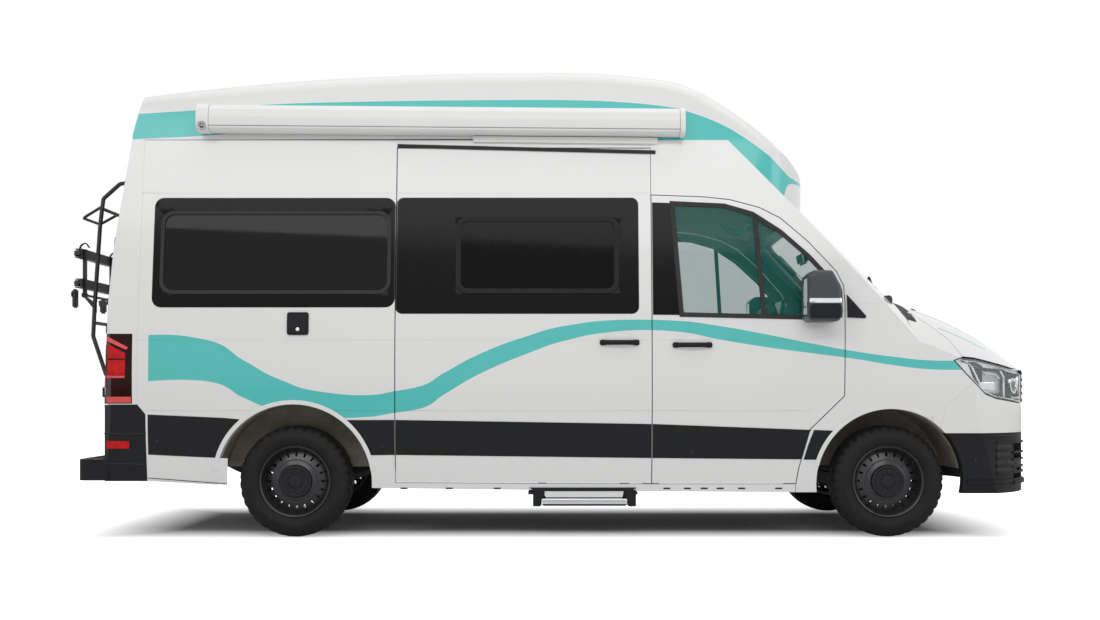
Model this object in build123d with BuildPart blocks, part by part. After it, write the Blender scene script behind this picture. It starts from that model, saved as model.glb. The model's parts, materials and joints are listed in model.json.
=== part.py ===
"""High-roof camper van: a panel van with a moulded high roof, side awning, slide-out step and rear bike rack.

Millimetres. +X forward, +Y to the vehicle's left, +Z up, ground at Z = 0, origin under the middle of the van.
"""

from build123d import *
from math import cos, radians, sin, tan
import os

os.makedirs("parts", exist_ok=True)

# ---------------------------------------------------------------- driving dimensions
wheelbase = 3640
front_overhang = 1020
rear_reach = 1480  # rear axle to the back of the bike rack
rear_axle_x = (rear_reach - front_overhang - wheelbase) / 2
front_axle_x = rear_axle_x + wheelbase
nose_x = front_axle_x + front_overhang

half_width = 1020
belt_z = 967  # height of the widest line of the side
side_radius = 4200  # bulge of the side, seen from the end
upper_lean = 6.6  # degrees that the upper side leans in
crown_axis_z = -300  # the bonnet, windscreen and roof are turned about this line along X
body_bottom_z = 250
side_top_z = 2450  # where the steel body ends under the moulded roof
wall = 60  # whole thickness of a side or a door
panel_gap = 6  # shut line between two panels
fit_gap = 0.3  # running clearance of a seated piece
glass_inset = 3
glass_thickness = 6

rear_face_x = rear_axle_x - 1165
rear_lean_z = 1250
rear_top_x = rear_axle_x - 1020

# wheels
tyre_radius = 342
tyre_width = 235
rim_radius = 219
front_track = 1706
rear_track = 1722
kingpin_y = 780
hub_z = tyre_radius
slot_count = 20  # ventilation slots in each wheel disc
slot_circle = 164
front_arch_radius = 447
rear_arch_radius = 475
liner_thickness = 8

# side panels (x, z)
slide_rear_x = rear_axle_x + 620
door_line_x = rear_axle_x + 2186  # between the sliding door and the cab door
door_front_x = rear_axle_x + 3362
sill_z = 330
slide_top_z = 2400
corner_x = rear_axle_x - 945  # seam of the rear corner panel
bumper_top_z = 640

bonnet_rear_x = front_axle_x + 240
hinge_post_x = (door_front_x - 82, door_front_x + 58)
far_front = nose_x + 20
far_rear = rear_face_x - 20
cab_x = (door_line_x - 96, bonnet_rear_x + 10)
front_x = (front_axle_x - 1050, far_front)


def from_datum(datum_x, points):
    """An outline in X and Z whose x is measured from a datum of the van."""
    return [(datum_x + x, z) for x, z in points]


cab_door_outline = from_datum(
    door_line_x,
    [
        (0, sill_z),
        (0, 2105),
        (327, 2093),
        (485, 2076),
        (666, 2027),
        (794, 1961),
        (963, 1813),
        (1130, 1630),
        (1172, 1540),
        (1178, 1440),
        (1170, 867),
        (962, 663),
        (897, 424),
        (882, sill_z),
    ],
)
cab_glass_outline = from_datum(
    door_line_x,
    [(131, 2050), (183, 1365), (1084, 1345), (1104, 1560), (961, 1721), (790, 1874), (621, 1985), (449, 2035)],
)
head_lamp_outline = from_datum(
    nose_x,
    [
        (-643, 1085),
        (-600, 1102),
        (-487, 1094),
        (-379, 1074),
        (-170, 1036),
        (20, 1024),
        (20, 815),
        (-110, 815),
        (-364, 850),
        (-443, 878),
        (-493, 924),
        (-564, 996),
    ],
)
bonnet_outline = [
    (bonnet_rear_x, 1600),
    (bonnet_rear_x, 1395),
    *from_datum(nose_x, [(-621, 1215), (-580, 1106), (-487, 1100), (-379, 1080), (-170, 1042)]),
    (far_front, 1030),
    (far_front, 1600),
]


# ---------------------------------------------------------------- shared forms
def section_tube(inset):
    """The cross-section of the van, extruded over its whole length."""
    radius = side_radius - inset
    centre_y = half_width - side_radius

    def on_side(angle):
        return (centre_y + radius * cos(angle), belt_z + radius * sin(angle))

    lean = radians(upper_lean)
    low = on_side(-(belt_z - body_bottom_z) / side_radius)
    middle = on_side(0)
    high = on_side(lean)
    top_z = 2700
    top = (high[0] - (top_z - high[1]) * tan(lean), top_z)
    with BuildPart() as tube:
        with BuildSketch(Plane.YZ.offset(rear_face_x - 100)):
            with BuildLine():
                ThreePointArc(low, middle, high)
                Polyline(high, top, (0, top_z), (0, low[1]), low)
            make_face()
            mirror(about=Plane.YZ)
        extrude(amount=nose_x - rear_face_x + 200)
    return tube.part


# centre line seen from the side: x, z, and how far each point moves in X and Z for each mm of inset
centre_line = [
    (nose_x - 30, 0, -1, 0),
    (rear_face_x, 0, 1, 0),
    (rear_face_x, rear_lean_z, 1, 0),
    (rear_face_x + 55, 1990, 1, -0.1),
    (rear_top_x, 2600, 1, -1),
    (door_line_x + 464, 2600, -0.4, -1),
    (front_axle_x + 175, 1508, -0.52, -0.88),
    (nose_x - 384, 1330, -0.43, -0.9),
    (nose_x - 52, 1115, -0.96, -0.53),
    (nose_x - 22, 760, -1, 0),
    (nose_x, 640, -1, 0),
    (nose_x, 440, -1, 0),
    (nose_x - 30, 380, -1, 0),
]
cowl_point = 6  # the bonnet's arc starts here, and ends two points on


def side_profile(inset):
    """The centre line turned about a line along X, which gives every top face its crown."""
    points = [(x + shift_x * inset, z + shift_z * inset) for x, z, shift_x, shift_z in centre_line]
    with BuildPart() as profile:
        with BuildSketch(Plane.XZ):
            with BuildLine():
                Polyline(*points[: cowl_point + 1])
                ThreePointArc(*points[cowl_point : cowl_point + 3])
                Polyline(*points[cowl_point + 2 :], points[0])
            make_face()
        revolve(axis=Axis((0, 0, crown_axis_z), (1, 0, 0)))
    return profile.part


def plan_prism(inset):
    """The outline seen from above: straight flanks, rounded nose, softly rounded tail corners."""
    flank_y = half_width + 10  # the section trims the flanks
    flank_end = (front_axle_x + 300, flank_y)
    cheek = (nose_x - 85, 620)
    with BuildPart() as prism:
        with BuildSketch(Plane.XY):
            with BuildLine():
                Polyline(flank_end, (rear_face_x + 70, flank_y), (rear_face_x, 960), (rear_face_x, 0))
                ThreePointArc(flank_end, (nose_x - 270, 900), cheek)
                ThreePointArc(cheek, (nose_x - 22, 320), (nose_x, 0))
                Line((nose_x, 0), (rear_face_x, 0))
            make_face()
            mirror(about=Plane.XZ)
            if inset:
                offset(amount=-inset, mode=Mode.REPLACE)
        extrude(amount=2900)
    return prism.part


def body_form(inset):
    with BuildPart() as form:
        add(section_tube(inset))
        add(side_profile(inset), mode=Mode.INTERSECT)
        add(plan_prism(inset), mode=Mode.INTERSECT)
    return form.part


def cut(solid, cutter):
    with BuildPart() as rest:
        add(solid)
        add(cutter, mode=Mode.SUBTRACT)
    return rest.part


def common(first, second):
    with BuildPart() as shared:
        add(first)
        add(second, mode=Mode.INTERSECT)
    return shared.part


def joined(solids):
    with BuildPart() as group:
        for solid in solids:
            add(solid)
    return group.part


def skin(outer_inset, inner_inset):
    """The layer of the body between two depths under its surface."""
    return cut(body_form(outer_inset), body_form(inner_inset))


def both_sides(inner_y, outer_y):
    """The right-hand and the left-hand range in Y."""
    return ((-outer_y, -inner_y), (inner_y, outer_y))


def side_region(points, y_low, y_high, grow=0):
    """A prism on an outline in X and Z, from y_low to y_high, with the outline grown or shrunk."""
    with BuildPart() as prism:
        with BuildSketch(Plane.XZ.offset(-y_high)):
            with BuildLine():
                Polyline(*points, close=True)
            make_face()
            if grow:
                offset(amount=grow, kind=Kind.INTERSECTION, mode=Mode.REPLACE)
        extrude(amount=y_high - y_low, dir=(0, -1, 0))
    return prism.part


def box(x, y, z):
    """A block given by its lowest and highest value along each axis."""
    with BuildPart() as block:
        with BuildSketch(Plane.XY.offset(z[0])):
            with Locations(((x[0] + x[1]) / 2, (y[0] + y[1]) / 2)):
                Rectangle(x[1] - x[0], y[1] - y[0])
        extrude(amount=z[1] - z[0])
    return block.part


def drum(x, z, radius, y_low, y_high):
    with BuildPart() as cylinder:
        with BuildSketch(Plane.XZ.offset(-y_high)):
            with Locations((x, z)):
                Circle(radius)
        extrude(amount=y_high - y_low)
    return cylinder.part


# where the moulded roof ends: x from the door line, z
roof_line = [(33, 2595), (284, 2530), (520, 2387), (732, 2235), (884, 2130), (979, 2116), (1204, 2280)]
above_all_z = 3600


def above_roof_line(lift):
    """Everything above the line where the moulded roof ends, crowned like the body."""
    line = from_datum(door_line_x, [(x, z + lift) for x, z in roof_line])
    front_end = (line[-1][0], above_all_z)
    with BuildPart() as above:
        with BuildSketch(Plane.XZ):
            with BuildLine():
                Polyline((far_rear, 2588 + lift), *line, front_end, (far_rear, above_all_z), close=True)
            make_face()
        revolve(axis=Axis((0, 0, crown_axis_z), (1, 0, 0)))
    return above.part


def drum_x(y, z, radius, x_low, x_high):
    with BuildPart() as cylinder:
        with BuildSketch(Plane.YZ.offset(x_low)):
            with Locations((y, z)):
                Circle(radius)
        extrude(amount=x_high - x_low)
    return cylinder.part


def tube(points, radius, bend=40):
    """A round tube along a path of points with rounded corners."""
    with BuildPart() as pipe:
        with BuildLine() as path:
            if len(points) > 2:
                FilletPolyline(*points, radius=bend)
            else:
                Line(*points)
        with BuildSketch(Plane(origin=path.line @ 0, z_dir=path.line % 0)):
            Circle(radius)
        sweep()
    return pipe.part


def save(builder, name):
    builder.part.label = name
    export_step(builder.part, f"parts/{name}.step")


def hinge_pads(blocks, moving_region, seat):
    """Pads on a fixed frame that a shut panel's inner face rests on, beside its hinge."""
    pads = common(skin(wall - 5, wall + seat), joined(blocks))
    shut_panel = common(skin(0, wall + fit_gap), moving_region)
    return cut(pads, shut_panel)


# ---------------------------------------------------------------- shared solids
body_shell = skin(0, wall)
glass_shell = skin(glass_inset, glass_inset + glass_thickness)
inside_form = body_form(wall + fit_gap)
half_gap = panel_gap / 2
y_out = half_width + 20
right = (-y_out, 0)

sill_line = from_datum(rear_axle_x, [(-417, 319), (615, 301), (2108, 283)])
bumper_side = from_datum(corner_x, [(0, 812), (47, 756), (47, 345)])
door_line = [(door_line_x, 282), (door_line_x, side_top_z)]
side_outline = [(corner_x, side_top_z), *bumper_side, *sill_line, *door_line]
slide_outline = [
    (slide_rear_x, sill_z + 8),
    (slide_rear_x, slide_top_z),
    (door_line_x, slide_top_z),
    (door_line_x, sill_z),
]
quarter_hole = from_datum(rear_axle_x, [(-810, 1500), (-810, 1990), (580, 1995), (580, 1498)])
slide_hole = from_datum(door_line_x, [(-1466, 1470), (-1466, 2010), (-156, 1995), (-156, 1455)])

# ---------------------------------------------------------------- steel body
for side in ("right", "left"):
    with BuildPart() as side_wall:
        add(body_shell)
        add(side_region(side_outline, *right, grow=-fit_gap), mode=Mode.INTERSECT)
        add(side_region(quarter_hole, *right), mode=Mode.SUBTRACT)
        add(drum(rear_axle_x, hub_z, rear_arch_radius, *right), mode=Mode.SUBTRACT)
        if side == "right":
            add(side_region(slide_outline, *right, grow=half_gap), mode=Mode.SUBTRACT)
        else:
            add(side_region(slide_hole, *right), mode=Mode.SUBTRACT)
            mirror(about=Plane.XZ, mode=Mode.REPLACE)
    save(side_wall, f"side_{side}")

with BuildPart() as sliding_door:
    add(body_shell)
    add(side_region(slide_outline, *right, grow=-half_gap), mode=Mode.INTERSECT)
    add(side_region(slide_hole, *right), mode=Mode.SUBTRACT)
save(sliding_door, "sliding_door")

rear_door_y = 905
rear_door_top_y = 795
rear_door_z = (500, 1450, 2330)
rear_door_x = (far_rear, rear_face_x + 195)
rear_gap = 8
lamp_z = (820, 1246)
lamp_front_x = corner_x - 33
lamp_y = 925


def rear_opening(grow):
    """The tail opening that the two rear doors fill, narrower towards the top."""
    with BuildPart() as opening:
        with BuildSketch(Plane.YZ.offset(rear_door_x[0])):
            with BuildLine():
                Polyline(
                    (rear_door_y, rear_door_z[0]),
                    (rear_door_y, rear_door_z[1]),
                    (rear_door_top_y, rear_door_z[2]),
                    (-rear_door_top_y, rear_door_z[2]),
                    (-rear_door_y, rear_door_z[1]),
                    (-rear_door_y, rear_door_z[0]),
                    close=True,
                )
            make_face()
            if grow:
                offset(amount=grow, kind=Kind.INTERSECTION, mode=Mode.REPLACE)
        extrude(amount=rear_door_x[1] - rear_door_x[0], dir=(1, 0, 0))
    return opening.part


with BuildPart() as rear_frame:
    add(body_shell)
    add(box((far_rear, corner_x - fit_gap), (-y_out, y_out), (815, 2700)), mode=Mode.INTERSECT)
    add(above_roof_line(-fit_gap), mode=Mode.SUBTRACT)
    add(rear_opening(0), mode=Mode.SUBTRACT)
    for y in ((-y_out, -lamp_y), (lamp_y, y_out)):
        add(box((far_rear, lamp_front_x), y, lamp_z), mode=Mode.SUBTRACT)
    pad_blocks = []
    for z in (860, 1400, 1950):
        for sign in (-1, 1):
            inner_y = rear_door_y - 45 if z < rear_door_z[1] else 805
            y = tuple(sorted((sign * inner_y, sign * 918)))
            pad_blocks.append(box((far_rear, corner_x - 5), y, (z, z + 70)))
    add(hinge_pads(pad_blocks, rear_opening(0), 20))
save(rear_frame, "rear_frame")

with BuildPart() as tail_lamps:
    add(body_shell)
    lamp_box_z = (lamp_z[0] + fit_gap, lamp_z[1] - fit_gap)
    add(box((far_rear, lamp_front_x - fit_gap), (-y_out, y_out), lamp_box_z), mode=Mode.INTERSECT)
    between_lamps_y = lamp_y + fit_gap
    add(box((far_rear, corner_x + 35), (-between_lamps_y, between_lamps_y), (0, 2000)), mode=Mode.SUBTRACT)
save(tail_lamps, "tail_lamps")

rear_glass_y = (130, 790)
rear_glass_z = (1460, 2080)
for side, sign in (("right", -1), ("left", 1)):
    glass_box = box((far_rear, rear_face_x + 260), tuple(sorted(sign * y for y in rear_glass_y)), rear_glass_z)
    with BuildPart() as rear_door:
        add(body_shell)
        add(rear_opening(-rear_gap), mode=Mode.INTERSECT)
        with BuildSketch(Plane.XY):
            with BuildLine():
                Polyline(
                    (far_rear, sign * 4),
                    (rear_door_x[1], sign * 24),
                    (rear_door_x[1], sign * y_out),
                    (far_rear, sign * y_out),
                    close=True,
                )
            make_face()
        extrude(amount=3000, mode=Mode.INTERSECT)
        add(glass_box, mode=Mode.SUBTRACT)
    save(rear_door, f"rear_door_{side}")
    with BuildPart() as rear_glass:
        add(glass_shell)
        add(glass_box, mode=Mode.INTERSECT)
    save(rear_glass, f"rear_glass_{side}")

bumper_back_x = rear_axle_x - 1326
with BuildPart() as rear_bumper:
    add(body_shell)
    bumper_outline = [(far_rear, 812), *bumper_side, (far_rear, 345)]
    add(side_region(bumper_outline, -y_out, y_out, grow=-fit_gap), mode=Mode.INTERSECT)
    add(box((far_rear, rear_face_x + 260), (-rear_door_y, rear_door_y), (490, 900)), mode=Mode.SUBTRACT)
    with BuildSketch(Plane.XY.offset(350)) as step_face:
        with Locations(((bumper_back_x + rear_face_x + 30) / 2, 0)):
            Rectangle(rear_face_x + 30 - bumper_back_x, 1970)
        fillet(step_face.vertices().group_by(Axis.X)[0], 60)
    extrude(amount=130)
save(rear_bumper, "rear_bumper")

# ---------------------------------------------------------------- moulded high roof
roof_axis_z = -800  # the roof's top is turned about this line along X
roof_lean = 9  # degrees that its sides lean in
roof_shoulder = 110
roof_wall = 45
roof_base_y = 875  # half width of the roof where it meets the steel body
roof_nose_x = door_line_x + 1044
roof_rear_x = rear_top_x - 2
roof_side_y = 940  # half width in plan, outside the leaning sides
roof_keep_y = 700  # inside this the steel body runs on under the roof


# top of the roof from rear to nose, arc by arc: x from the nose, z, and how far an inset pulls it back
roof_crown = [
    (-4197, 2825, 0),
    (-3003, 2937, 0),
    (-1831, 2970, 0),
    (-1260, 2961, 0),
    (-940, 2926, 0),
    (-770, 2877, 0),
    (-630, 2800, 0),
    (-210, 2480, 0.5),
    (0, 2230, 1),
]


def roof_form(inset):
    """The roof as one solid: top profile turned about a line along X, leaning sides and a rounded nose."""
    rear = roof_rear_x + inset
    nose = roof_nose_x - inset
    crown = [(roof_nose_x + x - back * inset, z - inset) for x, z, back in roof_crown]
    crown[0] = (rear + 55, crown[0][1])
    with BuildPart() as form:
        with BuildSketch(Plane.XZ):
            with BuildLine():
                Polyline((rear, 2000), (rear, 2600), *crown[:1])
                for first in range(0, len(crown) - 1, 2):
                    ThreePointArc(*crown[first : first + 3])
                Polyline(crown[-1], (nose, 2000), (rear, 2000))
            make_face()
        revolve(axis=Axis((0, 0, roof_axis_z), (1, 0, 0)))
        base_y = roof_base_y - inset
        lean = tan(radians(roof_lean))
        with BuildSketch(Plane.YZ.offset(-2700)):
            with BuildLine():
                Polyline(
                    (base_y + 450 * tan(radians(upper_lean)), 2000),
                    (base_y, side_top_z),
                    (base_y - 600 * lean, side_top_z + 600),
                    (-base_y + 600 * lean, side_top_z + 600),
                    (-base_y, side_top_z),
                    (-base_y - 450 * tan(radians(upper_lean)), 2000),
                    close=True,
                )
            make_face()
        extrude(amount=4500, mode=Mode.INTERSECT)
        side = roof_side_y - inset
        shoulder_x = roof_nose_x - 440
        cheek_x = roof_nose_x - 140 - inset * 0.7
        cheek_y = 740 - inset * 0.7
        with BuildSketch(Plane.XY.offset(1900)):
            with BuildLine():
                Polyline((shoulder_x, side), (rear, side), (rear, -side), (shoulder_x, -side))
                for sign in (-1, 1):
                    ThreePointArc((shoulder_x, sign * side), (cheek_x, sign * cheek_y), (nose - 40, sign * 400))
                ThreePointArc((nose - 40, -400), (nose, 0), (nose - 40, 400))
            make_face()
        extrude(amount=1200, mode=Mode.INTERSECT)
        top = [e for e in form.edges() if e.center().Z > 2480 and abs(e.center().Y) > 500 and e.length > 600]
        fillet(top, roof_shoulder - inset)
    return form.part


under_screen = common(body_form(-fit_gap), box(cab_x, (-roof_keep_y, roof_keep_y), (1000, 3000)))
roof_solid = cut(common(roof_form(0), above_roof_line(0)), under_screen)
hollow_x = (far_rear, roof_nose_x - 490)  # the nose is solid
roof_inside = common(roof_form(roof_wall), box(hollow_x, (-y_out, y_out), (1900, 3100)))
roof_hollow = common(roof_inside, above_roof_line(roof_wall))
roof_mouth = common(roof_inside, box(hollow_x, (-y_out, y_out), (1900, 2660)))
with BuildPart() as high_roof:
    add(roof_solid)
    add(roof_hollow, mode=Mode.SUBTRACT)
    add(roof_mouth, mode=Mode.SUBTRACT)
save(high_roof, "high_roof")

# windscreen opening, on the plane of the glass
screen_low = Vector(front_axle_x + 155, 0, 1526)
screen_high = Vector(door_line_x + 884, 0, 2206)
screen_direction = (screen_high - screen_low).normalized()
screen_plane = Plane(
    origin=screen_low,
    x_dir=(0, 1, 0),
    z_dir=Vector(0, 1, 0).cross(screen_direction),
)


def screen_prism(grow):
    with BuildPart() as prism:
        with BuildSketch(screen_plane) as face:
            with BuildLine():
                Polyline((-800, 30), (800, 30), (730, 740), (-730, 740), close=True)
            make_face()
            fillet(face.vertices(), 70)
            if grow:
                offset(amount=grow, mode=Mode.REPLACE)
        extrude(amount=260, both=True)
    return prism.part


pillar_base_z = 1430
middle_post_x = (door_line_x - 50, door_line_x + 50)
floor_z = (560, 620)
liner_inner_front = 530
liner_inner_rear = 700


def beside_doors(layer, blocks):
    """A layer of the body inside some blocks, kept to the outer part of each side."""
    return cut(common(layer, joined(blocks)), box(cab_x, (-600, 600), (200, 2600)))


posts = beside_doors(
    skin(wall + panel_gap, 2 * wall + panel_gap),
    [
        box(middle_post_x, (-y_out, y_out), (284, 2380)),
        box(hinge_post_x, (-y_out, y_out), (284, 1480)),
    ],
)
# short webs from the outer skin to the posts behind the doors
fillers = beside_doors(
    skin(wall - 1, wall + panel_gap + 1),
    [
        box((door_line_x + 6, middle_post_x[1]), (-y_out, y_out), (284, 322)),
        box((door_line_x + 6, middle_post_x[1]), (-y_out, y_out), (2120, 2380)),
        box((door_front_x + 10, hinge_post_x[1]), (-y_out, y_out), (1434, 1480)),
    ],
)
firewall = common(
    inside_form,
    joined(
        [
            box((hinge_post_x[1] - 15, hinge_post_x[1]), (-y_out, y_out), (floor_z[0], 1095)),
            box((hinge_post_x[1] - 15, bonnet_rear_x - 90), (-y_out, y_out), (1080, 1095)),
            box((bonnet_rear_x - 105, bonnet_rear_x - 90), (-y_out, y_out), (1080, 1600)),
        ]
    ),
)
with BuildPart() as cab_frame:
    add(body_shell)
    cab_outline = [
        *door_line,
        (cab_x[1], side_top_z),
        (bonnet_rear_x, 1395),
        (door_front_x - 72, 1395),
        (door_line_x + 882, 277),
    ]
    add(side_region(cab_outline, -y_out, y_out, grow=-fit_gap), mode=Mode.INTERSECT)
    for y in ((-y_out, -600), (600, y_out)):
        add(side_region(cab_door_outline, *y, grow=half_gap), mode=Mode.SUBTRACT)
        add(box((door_line_x + 880, bonnet_rear_x), y, (200, pillar_base_z)), mode=Mode.SUBTRACT)
    add(box((door_line_x, far_front), (-700, 700), (200, 1300)), mode=Mode.SUBTRACT)
    add(screen_prism(0), mode=Mode.SUBTRACT)
    add(roof_solid, mode=Mode.SUBTRACT)
    add(posts)
    add(fillers)
    pad_x = (door_front_x - 72, door_front_x - 32)
    door_pads = [
        box(pad_x, (sign * 955 - 60, sign * 955 + 60), (z, z + 80)) for sign in (-1, 1) for z in (900, 1150)
    ]
    add(hinge_pads(door_pads, side_region(cab_door_outline, -y_out, y_out, grow=half_gap), panel_gap + 1))
    pad_x = (bonnet_rear_x - 50, bonnet_rear_x + 40)
    bonnet_pads = [box(pad_x, (sign * 300 - 30, sign * 300 + 30), (1000, 1600)) for sign in (-1, 1)]
    add(hinge_pads(bonnet_pads, side_region(bonnet_outline, -y_out, y_out, grow=half_gap), 20))
    add(firewall)
    for y in both_sides(liner_inner_front, y_out):
        add(drum(front_axle_x, hub_z, front_arch_radius + liner_thickness, *y), mode=Mode.SUBTRACT)
save(cab_frame, "cab_frame")

for side in ("right", "left"):
    with BuildPart() as cab_door:
        add(body_shell)
        add(side_region(cab_door_outline, -y_out, -600, grow=-half_gap), mode=Mode.INTERSECT)
        add(side_region(cab_glass_outline, -y_out, -600), mode=Mode.SUBTRACT)
        if side == "left":
            mirror(about=Plane.XZ, mode=Mode.REPLACE)
    save(cab_door, f"cab_door_{side}")
    with BuildPart() as door_glass:
        add(glass_shell)
        add(side_region(cab_glass_outline, -y_out, -600, grow=-fit_gap), mode=Mode.INTERSECT)
        if side == "left":
            mirror(about=Plane.XZ, mode=Mode.REPLACE)
    save(door_glass, f"cab_glass_{side}")

with BuildPart() as body_glass:
    add(glass_shell)
    add(screen_prism(-fit_gap), mode=Mode.INTERSECT)
    for outline in (quarter_hole, slide_hole):
        for y in both_sides(0, y_out):
            add(common(glass_shell, side_region(outline, *y, grow=-fit_gap)))
save(body_glass, "body_glass")

lamp_inner_y = 560
wing_seam = from_datum(nose_x, [(-715, bumper_top_z), (-690, 800), (-518, 949)])
wing_outline = [
    *from_datum(door_front_x, [(-292, 277), (-292, 420), (-227, 690), (-32, 890), (-10, 1380)]),
    (door_front_x + 6, pillar_base_z),
    (cab_x[1], pillar_base_z),
    (bonnet_rear_x, 1395),
    *from_datum(nose_x, [(-621, 1215), (-580, 1106), (-643, 1085), (-564, 996)]),
    *wing_seam[::-1],
    (cab_x[1], 277),
]
with BuildPart() as front_wings:
    add(body_shell)
    add(side_region(wing_outline, -y_out, y_out, grow=-fit_gap), mode=Mode.INTERSECT)
    add(box(front_x, (-lamp_inner_y, lamp_inner_y), (200, 1600)), mode=Mode.SUBTRACT)
    cowl_y = 600 + fit_gap  # the cab frame's cowl
    add(box((front_x[0], bonnet_rear_x + 12), (-cowl_y, cowl_y), (1380, 1600)), mode=Mode.SUBTRACT)
    add(side_region(cab_door_outline, -y_out, y_out, grow=half_gap), mode=Mode.SUBTRACT)
    add(drum(front_axle_x, hub_z, front_arch_radius, -y_out, y_out), mode=Mode.SUBTRACT)
    add(side_region(head_lamp_outline, -y_out, y_out), mode=Mode.SUBTRACT)
save(front_wings, "front_wings")

with BuildPart() as bonnet:
    add(body_shell)
    add(side_region(bonnet_outline, -y_out, y_out, grow=-half_gap), mode=Mode.INTERSECT)
save(bonnet, "bonnet")

with BuildPart() as head_lamps:
    add(body_shell)
    add(side_region(head_lamp_outline, -y_out, y_out, grow=-fit_gap), mode=Mode.INTERSECT)
    add(box(front_x, (-lamp_inner_y, lamp_inner_y), (200, 1600)), mode=Mode.SUBTRACT)
save(head_lamps, "head_lamps")

grille_z = (826, 1030)
slat_count = 4
slat_pitch = 44
slat_slot = 24  # clear height between two slats
with BuildPart() as grille:
    add(body_shell)
    grille_y = lamp_inner_y - fit_gap
    add(box((nose_x - 270, far_front), (-grille_y, grille_y), grille_z), mode=Mode.INTERSECT)
    for row in range(slat_count):
        slot_z = grille_z[0] + 24 + slat_pitch * row
        for y in both_sides(10, 500):
            add(box((nose_x - 370, far_front), y, (slot_z, slot_z + slat_slot)), mode=Mode.SUBTRACT)
save(grille, "grille")

nose_outline = [
    *wing_seam,
    *from_datum(nose_x, [(-493, 924), (-443, 876), (-364, 848), (-110, 813), (20, 813), (20, bumper_top_z)]),
]
with BuildPart() as nose_panel:
    add(body_shell)
    add(side_region(nose_outline, -y_out, y_out, grow=-fit_gap), mode=Mode.INTERSECT)
    add(drum(front_axle_x, hub_z, front_arch_radius, -y_out, y_out), mode=Mode.SUBTRACT)
    add(side_region(head_lamp_outline, -y_out, y_out), mode=Mode.SUBTRACT)
save(nose_panel, "nose_panel")

vent_y = (640, 850)  # the side vents, on the rounded corners
vent_z = [(356, 386), (404, 420), (480, 510), (524, 572)]
intake_y = (12, 470)
intake_z = [(360, 384), (400, 424), (440, 464)]
with BuildPart() as front_bumper:
    add(body_shell)
    add(box((cab_x[1], far_front), (-y_out, y_out), (270, bumper_top_z - fit_gap)), mode=Mode.INTERSECT)
    add(drum(front_axle_x, hub_z, front_arch_radius + 3, -y_out, y_out), mode=Mode.SUBTRACT)
    for y_range, rows in ((vent_y, vent_z), (intake_y, intake_z)):
        for z in rows:
            for y in both_sides(*y_range):
                add(box((nose_x - 370, far_front), y, z), mode=Mode.SUBTRACT)
save(front_bumper, "front_bumper")

# ---------------------------------------------------------------- underbody
rail_y = (400, 470)
rail_z = (430, floor_z[0] - fit_gap)
with BuildPart() as floor_pan:
    add(inside_form)
    add(box((rear_face_x + wall + 5, hinge_post_x[0]), (-y_out, y_out), floor_z), mode=Mode.INTERSECT)
    for y in both_sides(liner_inner_rear, y_out):
        add(drum(rear_axle_x, hub_z, rear_arch_radius + liner_thickness, *y), mode=Mode.SUBTRACT)
    for y in both_sides(liner_inner_front, y_out):
        add(drum(front_axle_x, hub_z, front_arch_radius + liner_thickness, *y), mode=Mode.SUBTRACT)
    for y in both_sides(830, y_out):
        for x in (middle_post_x, hinge_post_x):
            add(box((x[0] - 1, x[1] + 1), y, (500, 700)), mode=Mode.SUBTRACT)
save(floor_pan, "floor_pan")

liner_outer_y = 900
with BuildPart() as arch_liners:
    for x, radius, inner_y in (
        (rear_axle_x, rear_arch_radius, liner_inner_rear),
        (front_axle_x, front_arch_radius, liner_inner_front),
    ):
        below = box((x - 600, x + 600), (-y_out, y_out), (-300, 420))
        spans = both_sides(inner_y, liner_outer_y)
        closed_spans = both_sides(inner_y + liner_thickness, liner_outer_y)
        for span, closed in zip(spans, closed_spans):
            outside = drum(x, hub_z, radius + liner_thickness - fit_gap, *span)
            add(cut(cut(outside, drum(x, hub_z, radius, *closed)), below))
save(arch_liners, "arch_liners")

cross_member_x = [
    rear_axle_x - 1010,
    rear_axle_x + 440,
    rear_axle_x + 1290,
    door_line_x + 4,
    door_line_x + 804,
    front_axle_x + 450,
]
with BuildPart() as chassis_frame:
    for y in both_sides(*rail_y):
        add(box((rear_face_x + 80, front_axle_x + 510), y, rail_z))
    for x in cross_member_x:
        add(box((x, x + 60), (-rail_y[0], rail_y[0]), (450, 540)))
save(chassis_frame, "chassis_frame")

engine_x = (front_axle_x + 150, front_axle_x + 420)
with BuildPart() as engine:
    add(box(engine_x, (-330, 330), (460, 1080)))
    fillet(engine.edges().filter_by(Axis.Y), 40)
    mount_y = rail_y[0] - fit_gap
    add(box((engine_x[0] + 105, engine_x[0] + 165), (-mount_y, mount_y), (480, 540)))
save(engine, "engine")

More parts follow.
